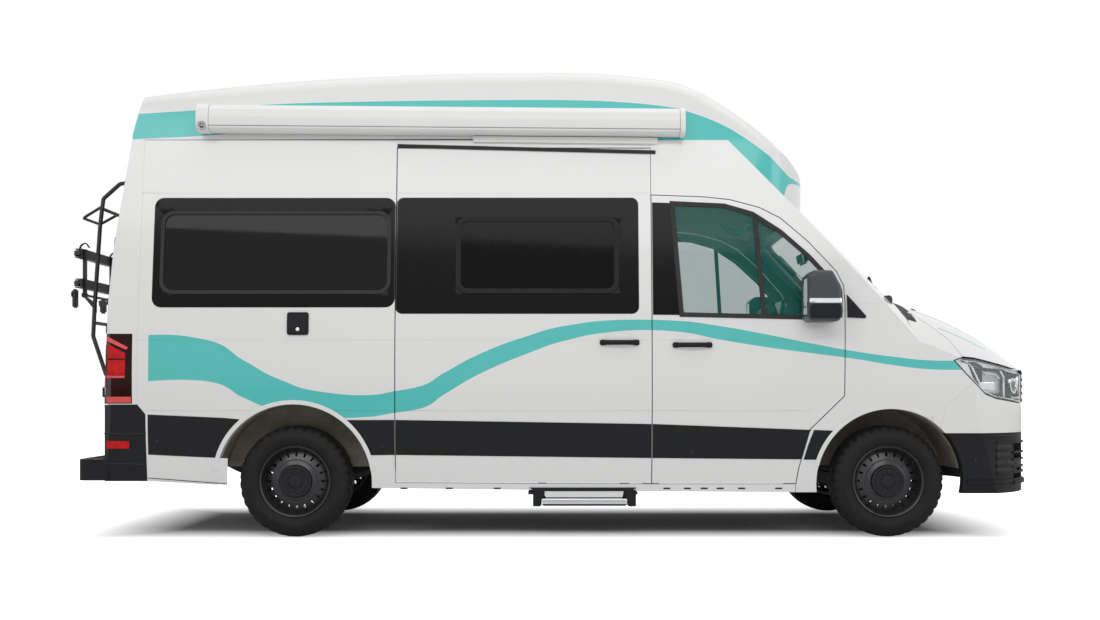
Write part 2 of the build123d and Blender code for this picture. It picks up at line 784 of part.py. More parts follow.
# ---------------------------------------------------------------- running gear
spring_x = 620
hub_face = 20  # from the tyre's middle plane out to the rim's inner mounting face
brake_radius = 140
with BuildPart() as rear_axle:
    hub_reach = rear_track / 2 + hub_face - fit_gap
    add(drum(rear_axle_x, hub_z, 40, -hub_reach, hub_reach))
    for sign in (-1, 1):
        drum_y = sorted((sign * (hub_reach - 100), sign * (hub_reach - 20)))
        add(drum(rear_axle_x, hub_z, brake_radius, *drum_y))
        spring_y = tuple(sorted((sign * 560, sign * 490)))
        with BuildSketch(Plane.XZ.offset(-spring_y[1])):
            with BuildLine():
                rear_end, front_end = rear_axle_x - spring_x, rear_axle_x + spring_x
                low = ThreePointArc((rear_end, 480), (rear_axle_x, hub_z - 60), (front_end, 480))
                high = ThreePointArc((rear_end, 510), (rear_axle_x, hub_z - 20), (front_end, 510))
                Line(low @ 0, high @ 0)
                Line(low @ 1, high @ 1)
            make_face()
        extrude(amount=spring_y[1] - spring_y[0])
        shackle_y = tuple(sorted((sign * (rail_y[1] + fit_gap), sign * 560)))
        for x in (rear_axle_x - spring_x, rear_axle_x + spring_x):
            add(box((x - 25, x + 25), shackle_y, (470, 545)))
save(rear_axle, "rear_axle")

arm_z = 235
with BuildPart() as front_subframe:
    add(box((front_axle_x - 150, front_axle_x + 120), (-420, 420), (250, 330)))
    for sign in (-1, 1):
        turret_y = tuple(sorted((sign * 330, sign * 420)))
        add(box((front_axle_x - 60, front_axle_x + 60), turret_y, (250, rail_z[0] - fit_gap)))
        with BuildSketch(Plane.XY.offset(arm_z - 20)):
            with BuildLine():
                Polyline(
                    (front_axle_x - 150, sign * 400),
                    (front_axle_x + 90, sign * 400),
                    (front_axle_x + 30, sign * (kingpin_y + 20)),
                    (front_axle_x - 30, sign * (kingpin_y + 20)),
                    close=True,
                )
            make_face()
        extrude(amount=40)
save(front_subframe, "front_subframe")

for side, sign in (("right", -1), ("left", 1)):
    with BuildPart() as knuckle:
        upright_y = tuple(sorted((sign * (kingpin_y - 30), sign * (kingpin_y + 30))))
        add(box((front_axle_x - 35, front_axle_x + 35), upright_y, (arm_z + 20 + fit_gap, 440)))
        stub_end = front_track / 2 + hub_face - fit_gap
        add(drum(front_axle_x, hub_z, 32, *sorted((sign * (kingpin_y + 20), sign * stub_end))))
        add(drum(front_axle_x, hub_z, brake_radius, *sorted((sign * (stub_end - 45), sign * (stub_end - 20)))))
    save(knuckle, f"knuckle_{side}")

for end, x, track in (("front", front_axle_x, front_track), ("rear", rear_axle_x, rear_track)):
    for side, sign in (("right", -1), ("left", 1)):
        middle = sign * track / 2
        with BuildPart() as tyre:
            with BuildSketch(Plane.YZ.offset(x)):
                with BuildLine():
                    half = tyre_width / 2
                    Polyline(
                        (middle - half + 20, hub_z + rim_radius + fit_gap),
                        (middle - half, hub_z + rim_radius + 40),
                        (middle - half + 6, hub_z + tyre_radius - 40),
                        (middle - half + 28, hub_z + tyre_radius - 6),
                        (middle - 60, hub_z + tyre_radius),
                        (middle + 60, hub_z + tyre_radius),
                        (middle + half - 28, hub_z + tyre_radius - 6),
                        (middle + half - 6, hub_z + tyre_radius - 40),
                        (middle + half, hub_z + rim_radius + 40),
                        (middle + half - 20, hub_z + rim_radius + fit_gap),
                        close=True,
                    )
                make_face()
            revolve(axis=Axis((x, 0, hub_z), (0, 1, 0)))
        save(tyre, f"tyre_{end}_{side}")
        with BuildPart() as rim:
            with BuildSketch(Plane.YZ.offset(x)):
                with BuildLine():
                    Polyline(
                        (middle - sign * 97, hub_z + rim_radius),
                        (middle + sign * 97, hub_z + rim_radius),
                        (middle + sign * 90, hub_z + rim_radius - 14),
                        (middle + sign * 40, hub_z + 180),
                        (middle + sign * 60, hub_z + 120),
                        (middle + sign * 68, hub_z + 100),
                        (middle + sign * 72, hub_z + 0),
                        (middle + sign * hub_face, hub_z + 0),
                        (middle + sign * hub_face, hub_z + 150),
                        (middle - sign * 60, hub_z + 195),
                        (middle - sign * 97, hub_z + 200),
                        close=True,
                    )
                make_face()
            revolve(axis=Axis((x, 0, hub_z), (0, 1, 0)))
            with BuildSketch(Plane(origin=(x, middle, hub_z), x_dir=(1, 0, 0), z_dir=(0, 1, 0))):
                with PolarLocations(slot_circle, slot_count):
                    Rectangle(24, 13)
            extrude(amount=tyre_width / 2, both=True, mode=Mode.SUBTRACT)
        save(rim, f"rim_{end}_{side}")

# ---------------------------------------------------------------- cab
steering_centre = (door_line_x + 714, 400, 1150)
column_tilt = 28  # degrees above level that the column points at the driver
column_axis = Vector(-cos(radians(column_tilt)), 0, sin(radians(column_tilt)))
wheel_plane = Plane(origin=steering_centre, x_dir=(0, 1, 0), z_dir=column_axis)
column_radius = 22
with BuildPart() as column_bore:
    with BuildSketch(wheel_plane):
        Circle(column_radius + fit_gap)
    extrude(amount=-300)
dash_outline = from_datum(
    door_front_x,
    [
        (-292, 1000),
        (-342, 1130),
        (-212, 1260),
        (-72, 1330),
        (348, 1360),
        (408, 1300),
        (408, 1150),
        (-22, 1100),
        (-152, 900),
        (-252, 880),
    ],
)
with BuildPart() as dashboard:
    add(body_form(2 * wall + panel_gap + fit_gap))
    with BuildSketch(Plane.XZ.offset(-1000)):
        with BuildLine():
            Polyline(*dash_outline, close=True)
        make_face()
    extrude(amount=2000, mode=Mode.INTERSECT)
    add(column_bore.part, mode=Mode.SUBTRACT)
save(dashboard, "dashboard")

with BuildPart() as steering_wheel:
    rim_centre = Vector(*steering_centre) + wheel_plane.x_dir * 190
    with BuildSketch(Plane(origin=rim_centre, x_dir=wheel_plane.x_dir, z_dir=wheel_plane.y_dir)):
        Circle(15)
    revolve(axis=Axis(steering_centre, column_axis))
    with BuildSketch(wheel_plane):
        Circle(60)
        Rectangle(380, 40)
        with Locations((0, -95)):
            Rectangle(50, 190)
    extrude(amount=14, both=True)
    with BuildSketch(wheel_plane):
        Circle(column_radius)
    extrude(amount=-170)
save(steering_wheel, "steering_wheel")

backrest_outline = from_datum(
    door_line_x, [(104, 760), (164, 980), (44, 1640), (-36, 1640), (4, 900), (44, 800)]
)
with BuildPart() as cab_seats:
    for y in (-420, 420):
        with BuildSketch(Plane.XZ.offset(-y - 250)):
            with BuildLine():
                Polyline(*backrest_outline, close=True)
            make_face()
        extrude(amount=500)
        with BuildSketch(Plane.XY.offset(820)):
            with Locations((door_line_x + 304, y)):
                RectangleRounded(480, 500, 60)
        extrude(amount=150)
        add(box((door_line_x + 104, door_line_x + 484), (y - 190, y + 190), (floor_z[1] + fit_gap, 830)))
save(cab_seats, "cab_seats")

# ---------------------------------------------------------------- outside fittings
mirror_x = door_front_x - 160
mirror_outline = from_datum(
    mirror_x,
    [(-108, 1337), (-80, 1313), (84, 1313), (108, 1365), (94, 1525), (44, 1617), (-66, 1617), (-108, 1583)],
)
mirror_depth_y = (1028, 1210)
for side, sign in (("right", -1), ("left", 1)):
    with BuildPart() as mirror_body:
        with BuildSketch(Plane.XZ.offset(-sign * mirror_depth_y[0])) as housing_face:
            with BuildLine():
                Polyline(*mirror_outline, close=True)
            make_face()
            fillet(housing_face.vertices(), 24)
        extrude(amount=mirror_depth_y[1] - mirror_depth_y[0], dir=(0, sign, 0))
        fillet(mirror_body.faces().sort_by(Axis.Y)[0 if sign < 0 else -1].edges(), 30)
        # recess of the glass, in the face that looks back
        glass_y = tuple(sorted(sign * y for y in (mirror_depth_y[0] + 22, mirror_depth_y[1] - 22)))
        add(box((mirror_x - 120, mirror_x - 102), glass_y, (1345, 1575)), mode=Mode.SUBTRACT)
        arm_y = tuple(sorted((sign * 985, sign * 1060)))
        add(box((mirror_x - 52, mirror_x + 68), arm_y, (1345, 1385)))
        add(body_form(-fit_gap), mode=Mode.SUBTRACT)
    save(mirror_body, f"mirror_{side}")

awning_x = (rear_axle_x - 595, door_line_x + 205)
awning_z = (2478, 2640)
awning_depth_y = 1000
with BuildPart() as awning:
    with BuildSketch(Plane.YZ.offset(awning_x[0])):
        with BuildLine():
            lean = tan(radians(roof_lean))
            back_low = (-(roof_base_y - (awning_z[0] - side_top_z) * lean) - fit_gap, awning_z[0])
            back_high = (-(roof_base_y - (awning_z[1] - side_top_z) * lean) - fit_gap, awning_z[1])
            Polyline(
                back_low,
                (-awning_depth_y + 40, awning_z[0]),
                (-awning_depth_y, awning_z[0] + 40),
                (-awning_depth_y, awning_z[1] - 50),
                (-awning_depth_y + 40, awning_z[1]),
                back_high,
                close=True,
            )
        make_face()
    extrude(amount=awning_x[1] - awning_x[0])
save(awning, "awning")

step_z = 205
step_middle_x = door_line_x - 411
step_x = (step_middle_x - 260, step_middle_x + 260)
with BuildPart() as step_frame:
    for x in (step_middle_x - 315, step_middle_x + 241):
        add(box((x, x + 70), (-940, -760), (step_z + 31 + fit_gap, 262)))
    add(box((step_middle_x - 345, step_middle_x + 327), (-950, -600), (262, 276)))
    for x in (step_middle_x - 285, step_middle_x + 235):
        add(box((x, x + 50), (-760, -600), (276, floor_z[0] - fit_gap)))
save(step_frame, "step_frame")
with BuildPart() as step_tread:
    add(box(step_x, (-975, -700), (step_z, step_z + 31)))
save(step_tread, "step_tread")

rack_y = (-670, -110)  # the two main tubes, on the right-hand tail door
rack_tube = 13
rack_foot_z = rear_lean_z - 300
platform_pin = (rear_face_x - 237, 1508)  # x, z
platform_pin_radius = 8
main_tube_line = [
    (rear_face_x + 155, 2235),
    (rear_face_x - 2, 2212),
    (rear_face_x - 107, 2118),
    (rear_face_x - 128, 1949),
    (rear_face_x - 163, 1432),
    (rear_face_x - 172, 1245),
    (rear_face_x - 92, 1005),
    (rear_face_x - 45, rack_foot_z),
    (rear_face_x + 15, rack_foot_z),
]
cross_tubes = [(rear_face_x - 115, 2055), (rear_face_x - 167, 1330)]
hoop_x = rear_face_x - 240
with BuildPart() as rack_frame:
    for y in rack_y:
        add(tube([(x, y, z) for x, z in main_tube_line], rack_tube, 30))
        add(drum_x(y, rack_foot_z, 32, rear_face_x - 6, rear_face_x + 10))
    for x, z in cross_tubes:
        add(tube([(x, rack_y[0], z), (x, rack_y[1], z)], rack_tube - 2))
    # bike hoop at the top
    hoop = [
        (cross_tubes[0][0], rack_y[0] + 4, 2070),
        (hoop_x, rack_y[0] + 10, 1996),
        (hoop_x, -350, 1996),
        (cross_tubes[0][0], -380, 2055),
    ]
    add(tube(hoop, 9, 25))
    # lugs and the pin that the platform turns on
    lug = [
        (rear_face_x - 153, 1395),
        (rear_face_x - 153, 1450),
        (platform_pin[0] - 14, platform_pin[1] + 14),
        (platform_pin[0] + 6, platform_pin[1] - 18),
    ]
    for y in (rack_y[0] + 6, rack_y[1] - 14):
        add(side_region(lug, y, y + 8))
    add(drum(*platform_pin, platform_pin_radius, rack_y[0] + 6, rack_y[1] - 6))
    add(body_form(-fit_gap), mode=Mode.SUBTRACT)
save(rack_frame, "rack_frame")

platform_top_z = 1800
channel_x = (platform_pin[0] - 42, platform_pin[0] + 2)
channel_z = ((1552, 1610), (1742, platform_top_z))
with BuildPart() as rack_platform:
    for y in (rack_y[0] + 22, rack_y[1] - 42):
        rail_x = (platform_pin[0] - 10, platform_pin[0] + 12)
        add(box(rail_x, (y, y + 20), (platform_pin[1], platform_top_z)))
        add(drum(*platform_pin, 18, y, y + 20))
        add(drum(*platform_pin, platform_pin_radius + fit_gap, y - 1, y + 21), mode=Mode.SUBTRACT)
    for z in channel_z:
        add(box(channel_x, (rack_y[0] - 20, rack_y[1] + 20), z))
        groove_x = (channel_x[0] - 1, channel_x[1] - 12)
        add(box(groove_x, (rack_y[0] - 21, rack_y[1] + 21), (z[0] + 6, z[1] - 6)), mode=Mode.SUBTRACT)
    # wheel cups at the channel ends; the far ones reach furthest back
    for z in channel_z:
        add(drum_x(rack_y[0] + 2, (z[0] + z[1]) / 2, 20, channel_x[0] - 8, channel_x[1] - 6))
        add(drum_x(rack_y[1] - 2, (z[0] + z[1]) / 2, 20, rear_axle_x - rear_reach, channel_x[1] - 6))
save(rack_platform, "rack_platform")
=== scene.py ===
"""Camper van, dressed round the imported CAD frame. Lengths in the tables are millimetres in the frame of the
part: +X forward, +Y to the vehicle's left, +Z up, ground at Z = 0."""

import json
import math
import bmesh
import bpy
from mathutils import Matrix, Vector
from mathutils.bvhtree import BVHTree

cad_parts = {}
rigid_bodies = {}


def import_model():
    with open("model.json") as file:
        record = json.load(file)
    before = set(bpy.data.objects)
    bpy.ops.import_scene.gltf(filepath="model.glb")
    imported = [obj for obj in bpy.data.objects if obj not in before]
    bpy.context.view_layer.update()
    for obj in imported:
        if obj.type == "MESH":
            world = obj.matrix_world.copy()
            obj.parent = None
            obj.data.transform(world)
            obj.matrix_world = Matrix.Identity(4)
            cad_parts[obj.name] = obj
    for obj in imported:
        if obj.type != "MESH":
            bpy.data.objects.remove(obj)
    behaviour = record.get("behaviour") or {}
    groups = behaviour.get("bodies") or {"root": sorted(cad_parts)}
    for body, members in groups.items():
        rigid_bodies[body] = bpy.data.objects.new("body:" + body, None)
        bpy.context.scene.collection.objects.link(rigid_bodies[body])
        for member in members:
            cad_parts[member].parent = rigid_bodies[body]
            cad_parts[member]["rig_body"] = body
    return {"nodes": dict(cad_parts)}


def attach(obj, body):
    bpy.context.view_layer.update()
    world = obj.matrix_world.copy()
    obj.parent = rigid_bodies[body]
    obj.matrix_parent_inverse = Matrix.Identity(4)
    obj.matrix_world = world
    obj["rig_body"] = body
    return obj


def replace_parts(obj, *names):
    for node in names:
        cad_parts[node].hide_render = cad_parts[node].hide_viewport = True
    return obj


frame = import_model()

MM = 0.001
scene = bpy.context.scene
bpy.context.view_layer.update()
nodes = frame["nodes"]

SIDES = ((-1, "right"), (1, "left"))

# the outer side of the body, seen from the rear: a bowed flank that goes over into a leaning wall
HALF_WIDTH, BELT_Z, SIDE_RADIUS = 1020, 967, 4200
LEAN_FROM_Y, LEAN_FROM_Z, UPPER_LEAN = 992.2, 1449.7, math.radians(6.6)
FLANK_X = 2280  # the side is straight up to here
REAR_AXLE, FRONT_AXLE, HUB_Z = -1590, 2050, 342


# ---------------------------------------------------------------- materials
class Net:
    """The nodes of a material or of the world."""

    def __init__(self, tree):
        self.tree = tree
        tree.nodes.clear()

    def node(self, kind, **values):
        made = self.tree.nodes.new(kind)
        for key, value in values.items():
            setattr(made, key, value)
        return made

    def link(self, a, b):
        self.tree.links.new(a, b)

    def put(self, socket, value):
        if isinstance(value, bpy.types.NodeSocket):
            self.link(value, socket)
        else:
            socket.default_value = value

    def filled(self, kind, inputs, output=0, **values):
        made = self.node(kind, **values)
        for key, value in inputs.items():
            self.put(made.inputs[key], value)
        return made.outputs[output]

    def math(self, operation, a, b=0.0, c=0.0):
        return self.filled("ShaderNodeMath", {0: a, 1: b, 2: c}, operation=operation)

    def times(self, value, *others):
        for other in others:
            value = self.math("MULTIPLY", value, other)
        return value

    def between(self, value, low, high):
        return self.times(self.math("GREATER_THAN", value, low), self.math("LESS_THAN", value, high))

    def span(self, value, low, high, to_low, to_high):
        return self.filled("ShaderNodeMapRange", {"Value": value, "From Min": low, "From Max": high,
                                                  "To Min": to_low, "To Max": to_high})


class Graph(Net):
    """A procedural material under construction."""

    def __init__(self, name):
        self.material = bpy.data.materials.new(name)
        self.material.use_nodes = True
        super().__init__(self.material.node_tree)
        self.shader = self.node("ShaderNodeBsdfPrincipled")
        self.link(self.shader.outputs["BSDF"], self.node("ShaderNodeOutputMaterial").inputs["Surface"])
        coordinates = self.node("ShaderNodeTexCoord").outputs
        self.position, self.normal = coordinates["Object"], coordinates["Normal"]
        split = self.node("ShaderNodeSeparateXYZ")
        self.link(self.position, split.inputs[0])
        self.x, self.y, self.z = split.outputs

    def set(self, name, value):
        if name == "Base Color" and not isinstance(value, bpy.types.NodeSocket):
            value = (*value, 1.0)
        self.put(self.shader.inputs[name], value)

    def noise(self, scale, detail=3.0, rough=0.55, stretch=(1, 1, 1)):
        place = self.filled("ShaderNodeMapping", {"Scale": stretch, "Vector": self.position})
        return self.filled("ShaderNodeTexNoise", {"Vector": place, "Scale": scale, "Detail": detail,
                                                  "Roughness": rough}, "Fac")

    def uneven(self, scale, detail, low, high):
        """A value that wanders between two others."""
        return self.span(self.noise(scale, detail), 0.3, 0.7, low, high)

    def mix(self, factor, a, b):
        a, b = (value if isinstance(value, bpy.types.NodeSocket) else (*value, 1.0) for value in (a, b))
        return self.filled("ShaderNodeMix", {0: factor, 6: a, 7: b}, 2, data_type="RGBA")

    def cloudy(self, color, darker, scale, detail=3.0):
        return self.mix(self.noise(scale, detail), tuple(c * darker for c in color), color)

    def bump(self, height, strength, distance):
        self.set("Normal", self.filled("ShaderNodeBump", {"Strength": strength, "Distance": distance,
                                                          "Height": height}))

    def varnish(self, rough, coat=0.4, coat_rough=0.06):
        """The clear coat of paint, with a faint orange peel."""
        for name, value in (("Roughness", rough), ("Coat Weight", coat), ("Coat Roughness", coat_rough)):
            self.set(name, value)
        self.bump(self.noise(90.0, 2.0), 0.012, 0.0006)
        return self.material

    def rounded_box(self, u, v, box, radius):
        """1 inside a rounded rectangle (u low, u high, v low, v high), 0 outside."""
        u_low, u_high, v_low, v_high = box
        squares = []
        for value, low, high in ((u, u_low, u_high), (v, v_low, v_high)):
            off = self.math("ABSOLUTE", self.math("SUBTRACT", value, (low + high) / 2))
            past = self.math("MAXIMUM", self.math("SUBTRACT", off, (high - low) / 2 - radius), 0.0)
            squares.append(self.times(past, past))
        return self.math("LESS_THAN", self.math("ADD", *squares), radius * radius)

    def curve(self, value, points, low, high):
        """A smooth curve through (value, result) points in millimetres, from and to metres."""
        made = self.node("ShaderNodeFloatCurve")
        line = made.mapping.curves[0]
        made.mapping.extend = "HORIZONTAL"
        results = [z * MM for x, z in points]
        base, height = min(results) - 0.01, max(results) - min(results) + 0.02
        placed = [((x * MM - low) / (high - low), (z * MM - base) / height) for x, z in points]
        line.points[0].location = placed[0]
        line.points[1].location = placed[-1]
        for point in placed[1:-1]:
            line.points.new(*point)
        made.mapping.update()
        self.put(made.inputs["Value"], self.span(value, low, high, 0.0, 1.0))
        return self.math("MULTIPLY_ADD", made.outputs[0], height, base)

    def band(self, top, bottom, low, high):
        """1 between two edges along X, 0 above and below them."""
        top, bottom = self.curve(self.x, top, low, high), self.curve(self.x, bottom, low, high)
        return self.between(self.z, bottom, top)

    def depth(self):
        """How far a point lies inside the outer side of the body, in metres."""
        off_belt = self.math("SUBTRACT", self.z, BELT_Z * MM)
        bowed = self.math("MULTIPLY_ADD", self.times(off_belt, off_belt), -0.5 / (SIDE_RADIUS * MM),
                          HALF_WIDTH * MM)
        lean = math.tan(UPPER_LEAN)
        leaning = self.math("MULTIPLY_ADD", self.z, -lean, (LEAN_FROM_Y + LEAN_FROM_Z * lean) * MM)
        upper = self.math("GREATER_THAN", self.z, LEAN_FROM_Z * MM)
        outer = self.math("MULTIPLY_ADD", self.math("SUBTRACT", leaning, bowed), upper, bowed)
        return self.math("SUBTRACT", outer, self.math("ABSOLUTE", self.y))


def plain(name, color, rough, metallic=0.0, vary=0.06, scale=6.0, grain=0.0, grain_scale=600.0, wear=0.04,
          specular=0.5, coat=0.0, stretch=(1, 1, 1)):
    """A material with a soft colour change, uneven roughness and a fine grain."""
    g = Graph(name)
    dark = tuple(c * (1 - vary) for c in color)
    light = tuple(min(1.0, c * (1 + vary)) for c in color)
    g.set("Base Color", g.mix(g.span(g.noise(scale, 4.0, 0.6, stretch), 0.3, 0.7, 0.0, 1.0), dark, light))
    g.set("Roughness", g.uneven(scale * 5, 3.0, max(0.02, rough - wear), min(1.0, rough + wear)))
    g.set("Metallic", metallic)
    g.set("Specular IOR Level", specular)
    g.set("Coat Weight", coat)
    if grain:
        g.bump(g.noise(grain_scale, 2.0, 0.5, stretch), grain, 0.0004)
    return g.material


WHITE = (0.80, 0.80, 0.79)
TEAL = (0.072, 0.54, 0.51)
FILM_BLACK = (0.006, 0.006, 0.007)
NEAR_BLACK = (0.004, 0.004, 0.005)
PLASTIC_BLACK = (0.014, 0.0148, 0.0165)
LINING_DARK = (0.055, 0.06, 0.06)
# metres: paint ends and lining starts this far inside the outer side
PANEL_DEPTH, LINING_DEPTH = 0.025, 0.045


def paint(name, color=WHITE):
    g = Graph(name)
    g.set("Base Color", g.cloudy(color, 0.975, 1.6))
    return g.varnish(g.uneven(9.0, 3.0, 0.18, 0.27))


def cab_paint(name):
    """White paint outside, dark lining on the inside of the pillars and of the windscreen's surround."""
    g = Graph(name)
    from_cab = g.filled("ShaderNodeVectorMath", {0: g.position, 1: (1.3, 0.0, 1.4)}, operation="SUBTRACT")
    facing = g.filled("ShaderNodeVectorMath", {0: from_cab, 1: g.normal}, "Value", operation="DOT_PRODUCT")
    inside = g.times(g.math("LESS_THAN", facing, -0.02), g.between(g.x, 0.5, 2.0), g.between(g.z, 0.6, 2.05),
                     g.math("GREATER_THAN", g.depth(), LINING_DEPTH))
    g.set("Base Color", g.mix(inside, WHITE, LINING_DARK))
    return g.varnish(g.uneven(9.0, 3.0, 0.2, 0.25))


# the turquoise ribbon along both sides, as (x, z) of its two edges
RIBBON_TOP = [
    (-2640, 1180), (-2420, 1240), (-2150, 1215), (-1900, 1090), (-1650, 960), (-1400, 890), (-1150, 872),
    (-978, 895), (-824, 924), (-683, 1000), (-466, 1117), (-184, 1225), (102, 1300), (388, 1330),
    (750, 1325), (1000, 1294), (1250, 1250), (1584, 1183), (1834, 1138), (2086, 1103), (2303, 1083),
    (2460, 1083),
]
RIBBON_BOTTOM = [
    (-2640, 890), (-2420, 960), (-2150, 960), (-1900, 860), (-1650, 770), (-1400, 735), (-1150, 738),
    (-978, 763), (-824, 787), (-683, 868), (-466, 995), (-184, 1117), (102, 1213), (317, 1253), (531, 1268),
    (751, 1258), (1000, 1212), (1331, 1158), (1584, 1125), (1834, 1092), (2086, 1051), (2303, 1028),
    (2460, 1026),
]
# x low, x high, z low, z high, corner radius
WINDOW_FILM = [(-2457, -972, 1407, 2086, 60), (-972, 518, 1367, 2088, 45)]
ROOF_BAND_TOP = [
    (-2700, 2612), (-2570, 2620), (-2214, 2643), (-1747, 2680), (-1330, 2694), (-336, 2708), (98, 2707),
    (378, 2697), (751, 2657), (819, 2638), (1004, 2568), (1179, 2466), (1335, 2347), (1431, 2270),
    (1500, 2232), (1640, 2220),
]
ROOF_BAND_BOTTOM = [
    (-2700, 2452), (-2606, 2456), (-2001, 2495), (-1700, 2560), (-1330, 2640), (-336, 2655), (98, 2640),
    (378, 2560), (629, 2458), (759, 2434), (880, 2393), (998, 2328), (1116, 2245), (1235, 2157),
    (1328, 2074), (1400, 2060), (1450, 2175), (1500, 2200), (1640, 2205),
]


def graphic_paint(name):
    """White paint with the turquoise ribbon and the black glossy film round the side windows."""
    g = Graph(name)
    depth = g.depth()
    outside = g.math("LESS_THAN", depth, PANEL_DEPTH)
    ribbon = g.times(g.band(RIBBON_TOP, RIBBON_BOTTOM, -2.65, 2.47), g.between(g.x, -2.47, 2.5), outside)
    patches = [g.rounded_box(g.x, g.z, [value * MM for value in box], radius * MM)
               for *box, radius in WINDOW_FILM]
    film = g.times(g.math("MAXIMUM", *patches), outside)
    # the cab doors are lined with dark plastic inside
    lined = g.times(g.math("GREATER_THAN", depth, LINING_DEPTH), g.between(g.x, 0.6, 1.76))
    color = g.mix(film, g.mix(ribbon, g.cloudy(WHITE, 0.975, 1.6), TEAL), FILM_BLACK)
    g.set("Base Color", g.mix(lined, color, LINING_DARK))
    return g.varnish(g.math("SUBTRACT", g.uneven(9.0, 3.0, 0.2, 0.25), g.times(film, 0.12)))


def roof_paint(name):
    """White gelcoat with a band that keeps to the sides and runs round the nose."""
    g = Graph(name)
    past_front = g.math("MAXIMUM", g.math("SUBTRACT", g.x, 1.3), 0.0)
    on_side = g.math("GREATER_THAN", g.math("ADD", g.times(g.y, g.y), past_front), 0.3)
    band = g.times(g.band(ROOF_BAND_TOP, ROOF_BAND_BOTTOM, -2.7, 1.65), on_side)
    g.set("Base Color", g.mix(band, g.cloudy(WHITE, 0.98, 1.2), TEAL))
    return g.varnish(0.28, 0.3, 0.05)


def glass(name, color, alpha, specular=0.5):
    """Thin tinted glass: a dark or coloured film that lets part of the light straight through."""
    g = Graph(name)
    g.set("Base Color", g.cloudy(color, 0.9, 3.0, 2.0))
    g.set("Roughness", g.uneven(14.0, 2.0, 0.02, 0.04))
    g.set("Specular IOR Level", specular)
    g.set("Alpha", alpha)
    return g.material


def body_glass(name):
    """The windscreen is clear with a green tint, the living-space windows are almost black."""
    g = Graph(name)
    screen = g.math("GREATER_THAN", g.x, 1.2)
    g.set("Base Color", g.mix(screen, NEAR_BLACK, (0.02, 0.20, 0.16)))
    g.set("Roughness", g.uneven(14.0, 2.0, 0.02, 0.04))
    g.set("Specular IOR Level", 0.2)
    g.set("Alpha", g.span(screen, 0.0, 1.0, 0.95, 0.18))
    return g.material


MAT = {
    "paint": paint("white_paint"),
    "graphic": graphic_paint("white_paint_with_graphics"),
    "cab_paint": cab_paint("white_paint_lined"),
    "roof": roof_paint("white_gelcoat"),
    "plastic": plain("black_textured_plastic", PLASTIC_BLACK, 0.52, grain=0.35, grain_scale=900.0,
                     specular=0.15),
    "gloss_black": plain("gloss_black", NEAR_BLACK, 0.12, wear=0.03, specular=0.12),
    "film_glass": plain("dark_acrylic", (0.002, 0.002, 0.003), 0.06, wear=0.02, specular=0.1),
    "mirror_grey": plain("mirror_housing_plastic", (0.062, 0.067, 0.075), 0.4, grain=0.15, specular=0.3),
    "mirror_glass": plain("mirror_glass", (0.8, 0.82, 0.84), 0.03, 1.0, wear=0.01),
    "rubber": plain("seal_rubber", (0.012, 0.012, 0.012), 0.7, grain=0.3),
    "tinted": glass("tinted_cab_glass", (0.01, 0.22, 0.17), 0.24, 0.3),
    "dark_glass": glass("dark_side_glass", NEAR_BLACK, 0.95, 0.12),
    "body_glass": body_glass("body_glass_by_place"),
    "lens": glass("lamp_lens", (0.8, 0.84, 0.85), 0.10, 0.6),
    "red_lens": plain("red_lens", (0.56, 0.006, 0.008), 0.1, vary=0.2, scale=20, specular=0.2),
    "pale_red_lens": plain("pale_red_lens", (0.78, 0.09, 0.09), 0.1, vary=0.15, scale=20, specular=0.4),
    "dark_lens": plain("dark_lens", (0.022, 0.001, 0.002), 0.08, vary=0.3, scale=30, specular=0.15),
    "lamp_grey": plain("lamp_reflector", (0.42, 0.46, 0.46), 0.18, 0.6, 0.12, 14),
    "chrome": plain("bright_trim", (0.75, 0.76, 0.78), 0.12, 1.0, wear=0.05),
    "aluminium": plain("brushed_aluminium", (0.70, 0.71, 0.72), 0.32, 0.9, scale=8, grain=0.3,
                       grain_scale=300, stretch=(1, 30, 30)),
    "steel": plain("bare_steel", (0.30, 0.29, 0.28), 0.45, 0.8, 0.2, 20),
    "underbody": plain("underbody_coating", (0.045, 0.042, 0.038), 0.8, 0.0, 0.25, 12, 0.6, 180),
    # painted light: the felt is given a lighter colour than its own, to make up for the light that the arch
    # keeps off it
    "liner": plain("arch_liner_felt_painted_lighter", (0.22, 0.20, 0.165), 0.9, 0.0, 0.25, 8, 0.6, 240),
    "tyre": plain("tyre_rubber", (0.011, 0.011, 0.012), 0.6, 0.0, 0.2, 18, 0.3, 350, specular=0.2),
    "rim": plain("black_wheel_steel", (0.010, 0.010, 0.011), 0.3, 0.0, 0.15, 25, coat=0.2),
    "cap": plain("wheel_cap_plastic", (0.014, 0.014, 0.017), 0.4, grain=0.2, specular=0.25),
    "teal": paint("turquoise_film", TEAL),
    "dash": plain("dash_plastic", (0.035, 0.036, 0.04), 0.55, grain=0.5, grain_scale=500),
    "cloth": plain("seat_cloth", (0.05, 0.053, 0.06), 0.9, 0.0, 0.25, 60, 0.9, 1200),
    "cast": plain("cast_aluminium", (0.35, 0.35, 0.36), 0.55, 0.7, 0.2, 30, 0.5, 200),
    "awning": plain("awning_enamel", (0.82, 0.82, 0.81), 0.35, vary=0.015, scale=3),
    "rack": plain("rack_powder_coat", (0.014, 0.014, 0.016), 0.4, grain=0.2),
    "lamp_pillar": plain("pillar_lining", (0.16, 0.17, 0.17), 0.7, vary=0.05, grain=0.3),
    "liner_white": plain("interior_lining", (0.55, 0.55, 0.53), 0.7, vary=0.05, grain=0.3),
}

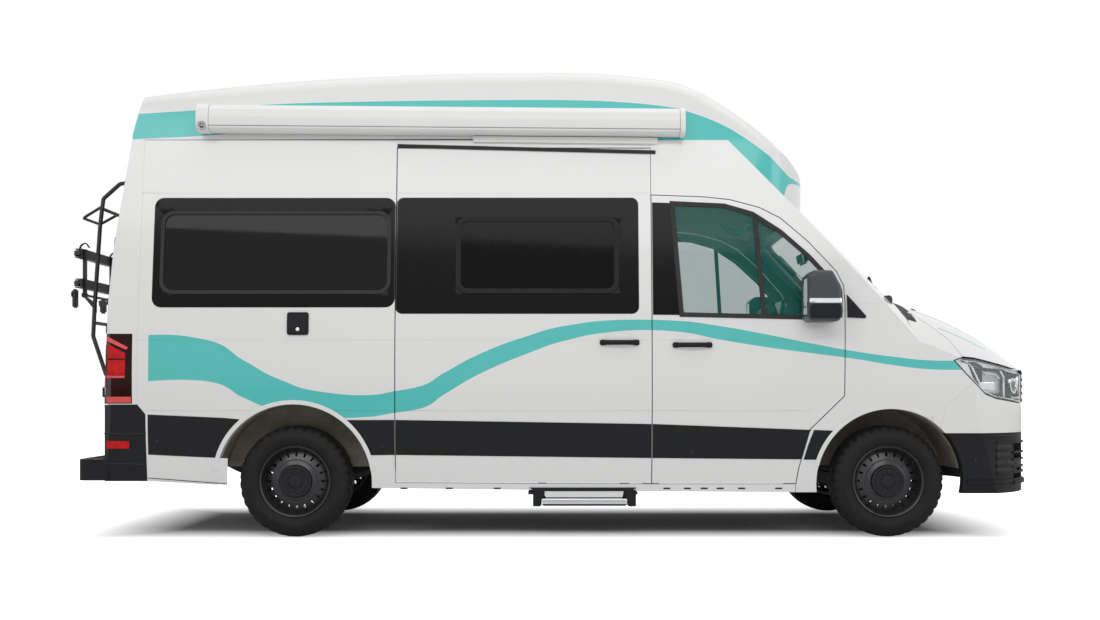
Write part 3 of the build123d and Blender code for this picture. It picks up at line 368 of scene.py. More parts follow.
# the material of each CAD node; {} stands for right and for left
NODE_MATERIAL = {
    "graphic": "side_{} sliding_door cab_door_{} front_wings",
    "paint": "rear_frame rear_door_{} bonnet nose_panel",
    "cab_paint": "cab_frame",
    "roof": "high_roof",
    "dark_lens": "tail_lamps",
    "dark_glass": "rear_glass_{}",
    "body_glass": "body_glass",
    "tinted": "cab_glass_{}",
    "plastic": "rear_bumper front_bumper grille",
    "lens": "head_lamps",
    "awning": "awning",
    "mirror_grey": "mirror_{}",
    "underbody": "floor_pan chassis_frame rear_axle front_subframe step_frame",
    "liner": "arch_liners",
    "cast": "engine",
    "steel": "knuckle_{}",
    "dash": "dashboard steering_wheel",
    "cloth": "cab_seats",
    "aluminium": "step_tread",
    "rack": "rack_frame rack_platform",
    "tyre": "tyre_front_{} tyre_rear_{}",
    "rim": "rim_front_{} rim_rear_{}",
}
OUTSIDE = ("graphic", "paint", "cab_paint", "roof", "dark_lens", "dark_glass", "body_glass", "tinted",
           "plastic", "lens", "awning")
outside_nodes = []
for key, pattern in NODE_MATERIAL.items():
    names = list(dict.fromkeys(name.format(side) for name in pattern.split() for sign, side in SIDES))
    if key in OUTSIDE:
        outside_nodes += names
    for name in names:
        if not nodes[name].material_slots:
            nodes[name].data.materials.append(MAT[key])
        for slot in nodes[name].material_slots:
            slot.link = "OBJECT"
            slot.material = MAT[key]


# ---------------------------------------------------------------- tools for building pieces
def node_tree(names):
    verts, faces = [], []
    for name in names:
        mesh = nodes[name].data
        base = len(verts)
        verts += [v.co.copy() for v in mesh.vertices]
        faces += [[base + i for i in p.vertices] for p in mesh.polygons]
    return BVHTree.FromPolygons(verts, faces)


SKIN = node_tree(outside_nodes)
# a view names the two coordinates of an outline, and the direction that it is projected along
VIEWS = {
    "right": (lambda u, v: Vector((u, -3000, v)), Vector((0, 1, 0))),
    "left": (lambda u, v: Vector((u, 3000, v)), Vector((0, -1, 0))),
    "rear": (lambda u, v: Vector((-4000, u, v)), Vector((1, 0, 0))),
    "front": (lambda u, v: Vector((4000, u, v)), Vector((-1, 0, 0))),
    "top": (lambda u, v: Vector((u, v, 4000)), Vector((0, 0, -1))),
    "tail_inside": (lambda u, v: Vector((-1500, u, v)), Vector((-1, 0, 0))),
}


def side_y(z):
    """How far the flank is from the middle at a height."""
    if z < LEAN_FROM_Z:
        return HALF_WIDTH - SIDE_RADIUS + math.sqrt(SIDE_RADIUS ** 2 - (z - BELT_Z) ** 2)
    return LEAN_FROM_Y - (z - LEAN_FROM_Z) * math.tan(UPPER_LEAN)


def surface_point(view, u, v, tree=None):
    """The point of the body's outside at (u, v) of a view, and the direction square to it."""
    start, direction = VIEWS[view][0](u, v), VIEWS[view][1]
    if view in ("right", "left") and u < FLANK_X and tree is None:
        return Vector((u, side_y(v) * -direction.y, v)), -direction
    point, normal = (tree or SKIN).ray_cast(start * MM, direction)[:2]
    if point is None:
        return None
    return point / MM, normal if normal.dot(direction) < 0 else -normal


def rounded(corners, steps=5):
    """An outline whose corners (u, v, radius) are rounded."""
    points = []
    for i, (u, v, radius) in enumerate(corners):
        if not radius:
            points.append((u, v))
            continue
        corner = Vector((u, v))
        to_last = (Vector(corners[i - 1][:2]) - corner).normalized()
        to_next = (Vector(corners[(i + 1) % len(corners)][:2]) - corner).normalized()
        half = to_last.angle(to_next) / 2
        centre = corner + (to_last + to_next).normalized() * (radius / math.sin(half))
        start = corner + to_last * (radius / math.tan(half)) - centre
        end = corner + to_next * (radius / math.tan(half)) - centre
        turn = start.angle_signed(end)
        for k in range(steps + 1):
            cos, sin = math.cos(-turn * k / steps), math.sin(-turn * k / steps)
            points.append((centre.x + start.x * cos - start.y * sin,
                           centre.y + start.x * sin + start.y * cos))
    return points


def rectangle(u_low, u_high, v_low, v_high, radius=0, steps=5):
    corners = ((u_low, v_low), (u_high, v_low), (u_high, v_high), (u_low, v_high))
    return rounded([(*corner, radius) for corner in corners], steps)


def grown(points, amount):
    """An outline moved outwards by amount, or inwards if it is negative."""
    area = sum(a[0] * b[1] - b[0] * a[1] for a, b in zip(points, points[1:] + points[:1]))
    turn = 1 if area > 0 else -1
    moved = []
    for i, point in enumerate(points):
        here = Vector(point)
        before = (here - Vector(points[i - 1])).normalized()
        after = (Vector(points[(i + 1) % len(points)]) - here).normalized()
        normals = [Vector((edge.y, -edge.x)) * turn for edge in (before, after)]
        middle = (normals[0] + normals[1]).normalized()
        moved.append(tuple(here + middle * (amount / max(0.35, middle.dot(normals[0])))))
    return moved


def arc(u, v, radius, start, end, count=16):
    """Points of an arc between two angles in degrees."""
    angles = [math.radians(start + (end - start) * k / count) for k in range(count + 1)]
    return [(u + radius * math.cos(angle), v + radius * math.sin(angle)) for angle in angles]


def ellipse(u, v, a, b, count=24):
    angles = [math.tau * k / count for k in range(count)]
    return [(u + a * math.cos(angle), v + b * math.sin(angle)) for angle in angles]


def mirrored(points, sign):
    """An outline in (y, z), or a profile, on one side of the middle."""
    return [(sign * u, v) for u, v in points]


def make_object(name, bm, material, body="van_body", smooth=38):
    bmesh.ops.remove_doubles(bm, verts=bm.verts, dist=2e-6)
    bmesh.ops.recalc_face_normals(bm, faces=bm.faces)
    mesh = bpy.data.meshes.new(name)
    bm.to_mesh(mesh)
    bm.free()
    mesh.shade_smooth()
    mesh.set_sharp_from_angle(angle=math.radians(smooth))
    mesh.materials.append(MAT[material])
    thing = bpy.data.objects.new(name, mesh)
    scene.collection.objects.link(thing)
    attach(thing, body)
    return thing


def solid(name, material, *shapes, body="van_body", smooth=38, slot=None, change=None):
    """A piece made of shapes, each named by the function that adds it to a mesh and that function's values.
    change moves each of its vertices, which are then in metres."""
    bm = bmesh.new()
    for add, *values in shapes:
        add(bm, *values)
    if change:
        for vert in bm.verts:
            vert.co = change(vert.co)
    return make_object(name, bm, material, body, smooth)


def welded_skin(name, node, material, reach=0.0008):
    """The node's own surface in the node's place, welded over its seams and slivers."""
    bm = bmesh.new()
    corners = [bm.verts.new(v.co) for v in nodes[node].data.vertices]
    for face in nodes[node].data.polygons:
        bm.faces.new([corners[i] for i in face.vertices])
    bmesh.ops.remove_doubles(bm, verts=bm.verts, dist=reach)
    bmesh.ops.dissolve_degenerate(bm, edges=bm.edges, dist=reach)
    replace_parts(make_object(name, bm, material, nodes[node]["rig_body"], 33), node)


# the cells that a plate is cut into, smaller where the surface below is more curved
FINE, MEDIUM, COARSE, WIDE = (24, 24), (30, 30), (40, 40), (60, 60)


def flat_mesh(outlines, cell):
    """A flat mesh in U and V inside the first outline and outside the others, cut into cells."""
    bm = bmesh.new()
    edges = []
    for outline in outlines:
        loop = [bm.verts.new((u, v, 0)) for u, v in outline]
        edges += [bm.edges.new(pair) for pair in zip(loop, loop[1:] + loop[:1])]
    bmesh.ops.triangle_fill(bm, use_beauty=True, use_dissolve=False, edges=edges, normal=(0, 0, 1))
    for axis, direction in enumerate((Vector((1, 0, 0)), Vector((0, 1, 0)))):
        values = [point[axis] for point in outlines[0]]
        low, high = min(values), max(values)
        count = int((high - low) / cell[axis])
        for k in range(1, count + 1):
            place = direction * (low + (high - low) * k / (count + 1))
            bmesh.ops.bisect_plane(bm, geom=bm.verts[:] + bm.edges[:] + bm.faces[:], plane_co=place,
                                   plane_no=direction, dist=0.01)
    return bm


def plate(name, view, outlines, material, proud=2.0, sink=1.5, edge=0.0, cell=(90, 60), tree=None,
          square=False, body="van_body", smooth=38, slot=None):
    """A plate lying on the body: its outlines are in the view's two coordinates, and it stands proud by some
    millimetres with rounded edges, along the view or, with square, at right angles to the surface."""
    if not isinstance(outlines[0][0], (list, tuple)):
        outlines = [outlines]
    bm = flat_mesh(outlines, cell)
    outward = {}
    for vert in list(bm.verts):
        found = surface_point(view, vert.co.x, vert.co.y, tree)
        if found is None:
            bm.verts.remove(vert)
            continue
        vert.co = found[0] * MM
        outward[tuple(round(c, 5) for c in vert.co)] = found[1] if square else -VIEWS[view][1]
    made = bmesh.ops.extrude_face_region(bm, geom=bm.faces[:])["geom"]
    top_set = {g for g in made if isinstance(g, bmesh.types.BMVert)}
    top_faces = {g for g in made if isinstance(g, bmesh.types.BMFace)}
    for vert in bm.verts:
        direction = outward[tuple(round(c, 5) for c in vert.co)]
        vert.co += direction * ((proud if vert in top_set else -sink) * MM)
    if edge:
        rim = [e for e in bm.edges if sum(f in top_faces for f in e.link_faces) == 1]
        bmesh.ops.bevel(bm, geom=rim, offset=edge * MM, segments=3, affect="EDGES", profile=0.5,
                        clamp_overlap=True)
    return make_object(name, bm, material, body, smooth)


def sweep(name, points, radius, material, body="van_body", sides=12, closed=False, scale=(1, 1)):
    """A rod of round or oval section along a path of points."""
    bm = bmesh.new()
    path = [Vector(p) * MM for p in points]
    count = len(path)
    rings = []
    up = None
    for i, here in enumerate(path):
        before = path[i - 1] if i or closed else here
        after = path[(i + 1) % count] if i < count - 1 or closed else here
        along = (after - before).normalized()
        if up is None:
            up = Vector((0, 0, 1)) if abs(along.z) < 0.9 else Vector((1, 0, 0))
        side = along.cross(up).normalized()
        up = side.cross(along).normalized()
        rings.append([bm.verts.new(here + (side * u + up * v) * radius * MM)
                      for u, v in ellipse(0, 0, *scale, sides)])
    for a, b in zip(rings, rings[1:] + rings[:closed]):
        for k in range(sides):
            bm.faces.new((a[k], a[(k + 1) % sides], b[(k + 1) % sides], b[k]))
    if not closed:
        bm.faces.new(rings[0][::-1])
        bm.faces.new(rings[-1])
    return make_object(name, bm, material, body, 50)


def smooth_path(points, steps=6):
    """Catmull-Rom points through the given ones."""
    points = [Vector(p) for p in points]
    ends = [points[0] * 2 - points[1]] + points + [points[-1] * 2 - points[-2]]
    out = []
    for i in range(1, len(ends) - 2):
        a, b, c, d = ends[i - 1:i + 3]
        for t in (k / steps for k in range(steps)):
            out.append(0.5 * (2 * b + (c - a) * t + (2 * a - 5 * b + 4 * c - d) * t ** 2
                              + (3 * b - a - 3 * c + d) * t ** 3))
    return out + [points[-1]]


def lathe(bm, centre, profile, segments, axis="y", wobble=None):
    """Turns (offset along the axis, radius) points round an axis through centre."""
    rings = []
    for k in range(segments):
        angle = math.tau * k / segments
        ring = []
        for i, (offset, radius) in enumerate(profile):
            r = radius + (wobble(i, k) if wobble else 0)
            place = [offset, r * math.sin(angle), r * math.cos(angle)]
            if axis == "y":
                place[:2] = place[1], place[0]
            ring.append(bm.verts.new((Vector(centre) + Vector(place)) * MM))
        rings.append(ring)
    for a, b in zip(rings, rings[1:] + rings[:1]):
        for i in range(len(profile) - 1):
            bm.faces.new((a[i], a[i + 1], b[i + 1], b[i]))


def block(bm, x, y, z, edge=0.0):
    """A box with bevelled edges, given by its ranges."""
    made = bmesh.ops.create_cube(bm, size=1.0)["verts"]
    for vert in made:
        vert.co = [((low + high) / 2 + at * (high - low)) * MM for at, (low, high) in zip(vert.co, (x, y, z))]
    if edge:
        edges = {e for v in made for e in v.link_edges}
        bmesh.ops.bevel(bm, geom=list(edges), offset=edge * MM, segments=2, affect="EDGES",
                        clamp_overlap=True)


def prism(bm, outline, axis, low, high, edge=0.0):
    """Pushes an outline along an axis. The outline is in (y, z) for x, (x, z) for y and (x, y) for z."""
    rings = []
    for w in (low, high):
        places = [{"x": (w, u, v), "y": (u, w, v), "z": (u, v, w)}[axis] for u, v in outline]
        rings.append([bm.verts.new(Vector(place) * MM) for place in places])
    caps = [bm.faces.new(ring) for ring in rings]
    for i in range(len(outline)):
        j = (i + 1) % len(outline)
        bm.faces.new((rings[0][i], rings[0][j], rings[1][j], rings[1][i]))
    if edge:
        rim = list({e for cap in caps for e in cap.edges})
        bmesh.ops.bevel(bm, geom=rim, offset=edge * MM, segments=3, affect="EDGES", clamp_overlap=True)


def turned(degrees, place):
    """Turns a point in metres about Y and moves it."""
    turn = Matrix.Rotation(math.radians(degrees), 3, "Y")
    return lambda point: turn @ point + Vector(place)


# ---------------------------------------------------------------- both sides: cladding, windows, arches
CLADDING = (2.5, 2.0, 1.5)  # proud, sunk, rounded edge
FILM = (2.0, 1.0, 0.8)
QUARTER, QUARTER_PANE = (-2455, -978, 1407, 2086), (-2398, -1014, 1504, 1990)
SLIDE, SLIDE_PANE = (-963, 516, 1369, 2086), (-596, 390, 1499, 1963)
DOOR_GLASS = [(727, 2050), (779, 1365), (1680, 1345), (1700, 1560), (1557, 1721), (1386, 1874), (1217, 1985),
              (1045, 2035)]


def arch_side(centre_x, radius, z_from, z_to, way):
    """Points down or up the edge of a wheel arch, behind (-1) or ahead (1) of the wheel."""
    heights = [z_from + (z_to - z_from) * k / 8 for k in range(9)]
    return [(centre_x + way * math.sqrt(radius ** 2 - (z - HUB_Z) ** 2), z) for z in heights]


def around(box, amount, radius):
    """A rounded rectangle at some distance outside a box, or inside it if the amount is negative."""
    return rectangle(box[0] - amount, box[1] + amount, box[2] - amount, box[3] + amount, radius)


for sign, side in SIDES:
    door = f"front_door_{side}"
    for key, body, outline in (
        ("rear_corner", "van_body", [(-2474, 754), (-2004, 733), *arch_side(REAR_AXLE, 482, 722, 489, -1),
                                     (-2476, 509)]),
        ("behind_door", "van_body", [*arch_side(REAR_AXLE, 482, 505, 720, 1), (-974, 721), (-974, 507)]),
        ("slide", "van_body", [(-966, 721), (592, 696), (592, 488), (-966, 507)]),
        ("cab_door", door, [(600, 696), (1566, 660), (1556, 650), (1530, 560), (1508, 480), (600, 488)]),
        ("wing", "van_body",
         [(1582, 660), *arch_side(FRONT_AXLE, 452, 655, 478, -1), (1522, 478), (1545, 560)]),
    ):
        plate(f"cladding_{key}_{side}", side, outline, "plastic", *CLADDING, body=body, slot="black_plastic")
    # dark bodywork film and window frames
    for name, outlines, material, *values in (
        ("surround_quarter", [rectangle(*QUARTER, 55), rectangle(*QUARTER_PANE, 62)], "gloss_black", *FILM),
        ("bead_quarter", [around(QUARTER_PANE, 14, 75), around(QUARTER_PANE, -8, 60)], "rubber", 6.0, 4.0,
         2.5),
        ("surround_slide", [rectangle(*SLIDE, 42), rectangle(*SLIDE_PANE, 58)], "gloss_black", *FILM),
        ("frame_slide", [around(SLIDE_PANE, 6, 66), around(SLIDE_PANE, -24, 45)], "plastic", 9.0, 4.0, 3.0),
        ("pane_slide", around(SLIDE_PANE, -22, 46), "film_glass", 4.0, 3.0, 1.0),
    ):
        plate(f"window_{name}_{side}", side, outlines, material, *values)
    # cab door: pillar film, seal, divider and mirror foot
    for name, body, outlines, material, *values in (
        ("pillar_film", door, [(602, 2058), (712, 2054), (764, 1360), (602, 1362)], "gloss_black", *FILM),
        ("door_seal", door, [grown(DOOR_GLASS, 16), grown(DOOR_GLASS, -12)], "rubber", 3.5, 3.0, 1.5),
        ("window_divider", door, [(1218, 1982), (1246, 1972), (1294, 1356), (1266, 1357)], "rubber", 3.5, 6.0,
         1.5),
        ("mirror_foot", door, [(1640, 1352), (1755, 1345), (1759, 1500), (1752, 1530), (1655, 1632)],
         "plastic", 8.0, 6.0, 3.0),
        ("pillar_foot", "van_body", [(1786, 1345), (1895, 1341), (1902, 1352), (1786, 1486)], "plastic", 8.0,
         3.0, 3.0),
    ):
        plate(f"{name}_{side}", side, outlines, material, *values, body=body)
    for key, x, radius, start, end in (("rear", REAR_AXLE, 474, 8, 172), ("front", FRONT_AXLE, 446, 48, 168)):
        lip = arc(x, HUB_Z, radius + 26, start, end, 36) + arc(x, HUB_Z, radius, end, start, 36)
        plate(f"arch_lip_{key}_{side}", side, lip, "paint", 7.0, 3.0, 3.5, WIDE)
    for number, (x, z) in enumerate(((-2418, 594), (-1048, 560), (842, 522), (2570, 470), (2790, 462))):
        plate(f"parking_sensor_{side}_{number}", side, ellipse(x, z, 9, 9, 16), "rubber", 4.5, 2.0, 1.0,
              body=door if number == 2 else "van_body")
    for number, x in enumerate((-2149, -920, -642, -349, 690, 815, 918, 1016, 1147, 1374)):
        z = 343 if number == 0 else 301
        plate(f"sill_slot_{side}_{number}", side, rectangle(x - 22, x + 22, z - 5, z + 5, 4, 3), "rubber",
              0.8, 1.0)

# ---------------------------------------------------------------- right side only
plate("door_rail", "right", [(-968, 2424), (626, 2384), (626, 2362), (-968, 2402)], "rubber", 9, 2, 2)
plate("water_flap", "right", rectangle(-1627, -1496, 1238, 1377, 14), "plastic", 8, 2, 3)
plate("water_flap_lid", "right", rectangle(-1615, -1508, 1250, 1365, 8), "plastic", 11, 2, 2)
plate("water_flap_lock", "right", ellipse(-1561, 1272, 11, 11), "chrome", 13, 2, 2)


def handle(name, sign, side, x_low, x_high, z, body="van_body"):
    """A pull handle: a bowed bar on two feet, with a shallow dish behind it."""
    dish = ellipse((x_low + x_high) / 2, z + 12, (x_high - x_low) * 0.27, 40, 32)
    plate(f"{name}_dish", side, dish, "paint", 1.6, 1, 1.2, body=body)
    bar = []
    for t in (k / 12 for k in range(13)):
        lift = 30 - 22 * abs(2 * t - 1) ** 3
        bar.append((x_low + 12 + (x_high - x_low - 24) * t, sign * (side_y(z) + lift), z))
    sweep(name, bar, 15, "plastic", body, 14, scale=(0.62, 1.0))
    for number, x in enumerate((x_low + 18, x_high - 30)):
        plate(f"{name}_foot_{number}", side, rectangle(x - 16, x + 24, z - 17, z + 17, 12), "plastic", 13, 2,
              5, body=body)


handle("slide_handle", *SIDES[0], 275, 524, 1192)
for sign, side in SIDES:
    handle(f"cab_handle_{side}", sign, side, 718, 967, 1177, f"front_door_{side}")

# ---------------------------------------------------------------- wheels
TYRE_RADIUS, TREAD_SEGMENTS = 342, 216
HALF_TYRE = [
    # offset from the middle plane, radius: from the tread's middle out to the bead
    (0, 342), (6, 342), (7, 333), (16, 333), (17, 342), (44, 342), (45, 333), (54, 333), (55, 341), (72, 340),
    (84, 338), (93, 332), (101, 322), (106, 312), (108, 306), (111, 300), (112, 298), (115, 285), (116, 283),
    (117, 268), (115, 256), (114, 254), (112, 243), (109, 240), (106, 232), (99, 226), (97, 220), (90, 219),
]
SHOULDER = {(72, 340), (84, 338), (93, 332), (101, 322)}
TYRE_PROFILE = mirrored(HALF_TYRE[:0:-1], -1) + HALF_TYRE
CAP = [(66, 103), (78, 101), (84, 96), (85, 84), (79, 78), (79, 44), (86, 38), (88, 24), (88, 0.5)]
DISC_RING = [(48, 136), (58, 134), (58, 128), (50, 126), (48, 136)]
RIM_LIP = [(84, 208), (93, 205), (100, 209), (103, 216), (99, 221), (92, 221), (84, 208)]
BRAKE_DISC = [(-8, 60), (-8, 150), (14, 150), (14, 60), (-8, 60)]
RIB_COUNT = 12


def tread(i, k):
    """Depth of the cross grooves: wide ones at the shoulders, narrow ones between the rings."""
    offset, radius = TYRE_PROFILE[i]
    if (abs(offset), radius) in SHOULDER:
        return -8 if k % 6 in (0, 1) else 0
    if radius == TYRE_RADIUS and abs(offset) < 50:
        return -4 if (k + (3 if offset < 0 else 0)) % 6 == 0 else 0
    return 0


def cap_ribs(bm, hub, sign):
    """Ribs round the hub cap, each turned into its place."""
    for k in range(RIB_COUNT):
        before = set(bm.verts)
        middle_y = hub[1] + sign * 80
        block(bm, (hub[0] - 4, hub[0] + 4), (middle_y - 5, middle_y + 5), (HUB_Z + 42, HUB_Z + 82), 1.5)
        bmesh.ops.rotate(bm, verts=[v for v in bm.verts if v not in before], cent=Vector(hub) * MM,
                         matrix=Matrix.Rotation(math.tau * k / RIB_COUNT, 3, "Y"))


for end, axle_x, track in (("front", FRONT_AXLE, 1706), ("rear", REAR_AXLE, 1722)):
    for sign, side in SIDES:
        wheel = f"{end}_{side}"
        body = nodes[f"tyre_{wheel}"]["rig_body"]
        hub = (axle_x, sign * track / 2, HUB_Z)
        tyre = solid(f"tyre_with_tread_{wheel}", "tyre",
                     (lathe, hub, TYRE_PROFILE, TREAD_SEGMENTS, "y", tread),
                     body=body, smooth=32, slot="tyre_rubber")
        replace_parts(tyre, f"tyre_{wheel}")
        solid(f"hub_cap_{wheel}", "cap", (lathe, hub, mirrored(CAP, sign), 64), (cap_ribs, hub, sign),
              body=body)
        for name, profile in (("disc_ring", DISC_RING), ("rim_lip", RIM_LIP)):
            solid(f"{name}_{wheel}", "rim", (lathe, hub, mirrored(profile, sign), 96), body=body)
        valve = [(hub[0] + 150, hub[1] + sign * a, HUB_Z + 118) for a in (62, 75, 92)]
        sweep(f"valve_{wheel}", valve, 4.5, "rubber", body, 8)
        solid(f"brake_disc_{wheel}", "steel", (lathe, hub, mirrored(BRAKE_DISC, sign), 64), body=body)

# ---------------------------------------------------------------- front: lamps and grille
LAMP_OUTLINE = [(2431, 1084), (2470, 1099), (2583, 1091), (2691, 1071), (2900, 1033), (3002, 1022),
                (3002, 818), (2960, 818), (2706, 853), (2627, 881), (2577, 926), (2508, 997)]
LAMP_SKIN = node_tree(["head_lamps"])
LAMP_RIM = grown(LAMP_OUTLINE, -7)
LAMP_PARTS = (
    # name, outline, material, depth under the lens, thickness, rounded edge
    ("housing", LAMP_OUTLINE, "plastic", 50, 5),
    ("wall", [LAMP_OUTLINE, LAMP_RIM], "gloss_black", 4, 48, 0),
    ("bezel", [LAMP_RIM, grown(LAMP_OUTLINE, -13)], "chrome", 6, 6),
    # from the tip forwards: a clear tip, a dark bar, the grey main bowl, a bright block and the end strip
    ("tip", [(2452, 1083), (2512, 1087), (2560, 960), (2520, 1004)], "chrome", 22),
    ("tip_bar", [(2520, 1088), (2570, 1084), (2606, 1040), (2560, 1044)], "gloss_black", 16),
    ("signature", [(2512, 1086), (2526, 1086), (2640, 884), (2624, 886)], "chrome", 12),
    ("dark_cell", rectangle(2566, 2622, 966, 1038, 10), "gloss_black", 20),
    ("main_bowl", rectangle(2628, 2770, 880, 1040, 20), "lamp_grey", 30),
    ("upper_lid", [(2588, 1086), (2690, 1066), (2790, 1048), (2790, 1040), (2640, 1052)], "chrome", 12),
    ("low_block", rectangle(2606, 2716, 888, 952, 12), "chrome", 18),
    ("end_strip", [(2772, 1030), (2786, 1028), (2786, 850), (2772, 852)], "chrome", 10),
)


def lamp_part(side, view, name, outline, material, depth, thick=4.0, edge=1.0):
    """A plate inside the lamp at a depth under its lens."""
    plate(f"lamp_{name}_{side}", view, outline, material, -depth, depth + thick, edge, FINE, LAMP_SKIN, True)


for sign, side in SIDES:
    lens = plate(f"lamp_lens_{side}", side, LAMP_OUTLINE, "lens", 0.5, 3.5, 0.8, FINE, LAMP_SKIN, True,
                 slot="lamp_clear")
    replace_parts(lens, "head_lamps")
    for values in LAMP_PARTS:
        lamp_part(side, side, *values)
    # what faces forwards: two round projectors and a strip of daytime lights
    for number, y in enumerate((sign * 655, sign * 800)):
        ring = [ellipse(y, 935, radius, radius, 28) for radius in (56, 42)]
        lamp_part(side, "front", f"ring_{number}", ring, "chrome", 18, 14, 2)
        lamp_part(side, "front", f"projector_{number}", ellipse(y, 935, 41, 41, 28), "film_glass", 26, 8, 4)
    for number in range(6):
        ends = sorted(sign * (590 + 46 * number + more) for more in (0, 34))
        lamp_part(side, "front", f"daylight_{number}", rectangle(*ends, 846, 862, 4), "lamp_grey", 12, 6)

# slats standing proud of the CAD ones, with a near-black plate behind the slots as painted shade of the
# grille's inside
plate("grille_painted_shade_plate", "front", rectangle(-552, 552, 832, 1024), "rubber", -48, 54, 0, COARSE)
for row in range(5):
    z = 838 + 44 * row
    plate(f"grille_slat_{row}", "front", rectangle(-556, 556, z - 9, z + 9, 6, 3), "gloss_black", 12, 8, 4,
          (40, 30), square=True)
plate("grille_frame", "front", [rectangle(-559, 559, 827, 1029, 10), rectangle(-548, 548, 840, 1018, 8)],
      "plastic", 7, 6, 2.5, COARSE, square=True)


# ---------------------------------------------------------------- front bumper
def painted_shade_behind(name, y_low, y_high, z_low, z_high, probe_z):
    """Painted shade: a near-black sheet behind the slots of the bumper, level with its face at another
    height, that stands for the shade inside them.
    """
    rows = [y_low + (y_high - y_low) * k / 12 for k in range(13)]
    face = [(surface_point("front", y, probe_z)[0].x, y) for y in rows]
    sheet = [(x - 52, y) for x, y in face] + [(x - 58, y) for x, y in reversed(face)]
    solid(name, "rubber", (prism, sheet, "z", z_low, z_high))


VENT_RIBS = ((346, 354), (388, 402), (422, 432), (468, 478), (511, 522), (574, 586))
for sign, side in SIDES:
    vent = sorted((sign * 628, sign * 866))
    # a near-black sheet behind the vent's ribs: painted shade
    painted_shade_behind(f"vent_painted_shade_{side}", *vent, 346, 588, 606)
    for number, heights in enumerate(VENT_RIBS):
        plate(f"vent_rib_{side}_{number}", "front", rectangle(*vent, *heights, 3, 3), "plastic", 11, 5, 3,
              MEDIUM, square=True)
    for name, outline, material, *values in (
        (f"bumper_lip_{side}", rectangle(2470, 2890, 330, 352, 8), "plastic", 10, 4, 4),
        (f"bumper_crease_{side}", rectangle(2412, 2880, 612, 630, 6), "plastic", 5, 3, 3),
        # a near-black plate behind the corner vent's slats: painted shade
        (f"corner_vent_back_{side}", rectangle(2712, 2886, 392, 590, 10), "rubber", 1.5, 2, 0.5),
        *((f"corner_vent_slat_{side}_{number}", rectangle(2708, 2892, z - 7, z + 7, 5), "plastic", 9, 2, 4)
          for number, z in enumerate((582, 534, 486, 438, 392))),
    ):
        plate(name, side, outline, material, *values, MEDIUM, square=True)
# a near-black sheet behind the intake: painted shade
painted_shade_behind("intake_painted_shade", -480, 480, 346, 480, 500)
plate("intake_frame", "front", [rectangle(-500, 500, 340, 486, 14), rectangle(-478, 478, 354, 470, 10)],
      "plastic", 8, 4, 3, COARSE)
plate("bumper_lip", "front", rectangle(-860, 860, 322, 344, 8), "plastic", 18, 6, 6, (40, 30), square=True)
plate("plate_rest", "front", rectangle(-262, 262, 520, 612, 12), "plastic", 6, 3, 3, COARSE)

# ---------------------------------------------------------------- bonnet, cowl, wipers, mirrors
for sign, side in SIDES:
    for name, outline, material, *values in (
        ("line", [(2430, 716), (2560, 700), (2740, 668), (2740, 650), (2560, 683), (2430, 700)], "teal", 0.8,
         1, 0),
        ("crease", [(2330, 430), (2860, 330), (2860, 318), (2330, 412)], "paint", 3, 2, 2.5),
    ):
        plate(f"bonnet_{name}_{side}", "top", [(x, sign * y) for x, y in outline], material, *values, MEDIUM,
              body="bonnet_lid")
    plate(f"washer_jet_{side}", "top", ellipse(2400, sign * 250, 16, 10, 16), "plastic", 7, 2, 3, MEDIUM,
          body="bonnet_lid")
plate("cowl_panel", "top", rectangle(2190, 2284, -745, 745, 14), "plastic", 4, 3, 2, (30, 40))
for number in range(18):
    y = -620 + 73 * number
    plate(f"cowl_slot_{number}", "top", rectangle(2236, 2264, y - 20, y + 20, 5, 3), "rubber", 5, 1, 0)
SCREEN = node_tree(["body_glass"])


def on_screen(y, z, lift):
    """A point over the windscreen, named by its place seen from the front."""
    point, square = surface_point("front", y, z, SCREEN)
    return point + square * lift


def screen_ring(y_low, y_high, z_low, z_high):
    """A rounded outline on the windscreen, wider at its foot."""
    return rounded([(-y_low, z_low, 60), (y_low, z_low, 60), (y_high, z_high, 60), (-y_high, z_high, 60)])


plate("screen_border", "front", [screen_ring(790, 722, 1560, 2180), screen_ring(742, 680, 1612, 2128)],
      "gloss_black", 0.6, 1, 0, WIDE, SCREEN)
for name, pivot_y, tip_y in (("driver", 560, -60), ("passenger", -60, -690)):
    blade = [on_screen(pivot_y + (tip_y - pivot_y) * k / 6 - 20, 1600 + 26 * math.sin(math.pi * k / 6), 12)
             for k in range(7)]
    sweep(f"wiper_blade_{name}", blade, 6, "rubber", sides=8, scale=(0.6, 1.2))
    middle, pivot = blade[3], on_screen(pivot_y, 1560, 22)
    arm = [pivot, pivot.lerp(middle, 0.5) + Vector((6, 0, 8)), middle + Vector((8, 0, 8))]
    sweep(f"wiper_arm_{name}", smooth_path(arm, 4), 8, "plastic", sides=8)
    bm = bmesh.new()
    bmesh.ops.create_uvsphere(bm, u_segments=16, v_segments=10, radius=0.020,
                              matrix=Matrix.Translation(pivot * MM))
    make_object(f"wiper_pivot_{name}", bm, "plastic")

for sign, side in SIDES:
    door = f"front_door_{side}"
    housing = node_tree([f"mirror_{side}"])
    glass_y = sorted((sign * 1056, sign * 1182))
    for name, outline, material, proud in (
        ("indicator", rectangle(1516, 1706, 1421, 1448, 8), "chrome", 3.5),
        ("foot_cover", rectangle(1518, 1704, 1330, 1414, 20), "plastic", 2.5),
    ):
        plate(f"mirror_{name}_{side}", side, outline, material, proud, 2, 1.5, (20, 20), housing, True, door)
    for name, *heights in (("main", 1404, 1570), ("wide", 1350, 1398)):
        plate(f"mirror_glass_{name}_{side}", "rear", rectangle(*glass_y, *heights, 14), "mirror_glass", 3, 1,
              1, COARSE, housing, body=door)

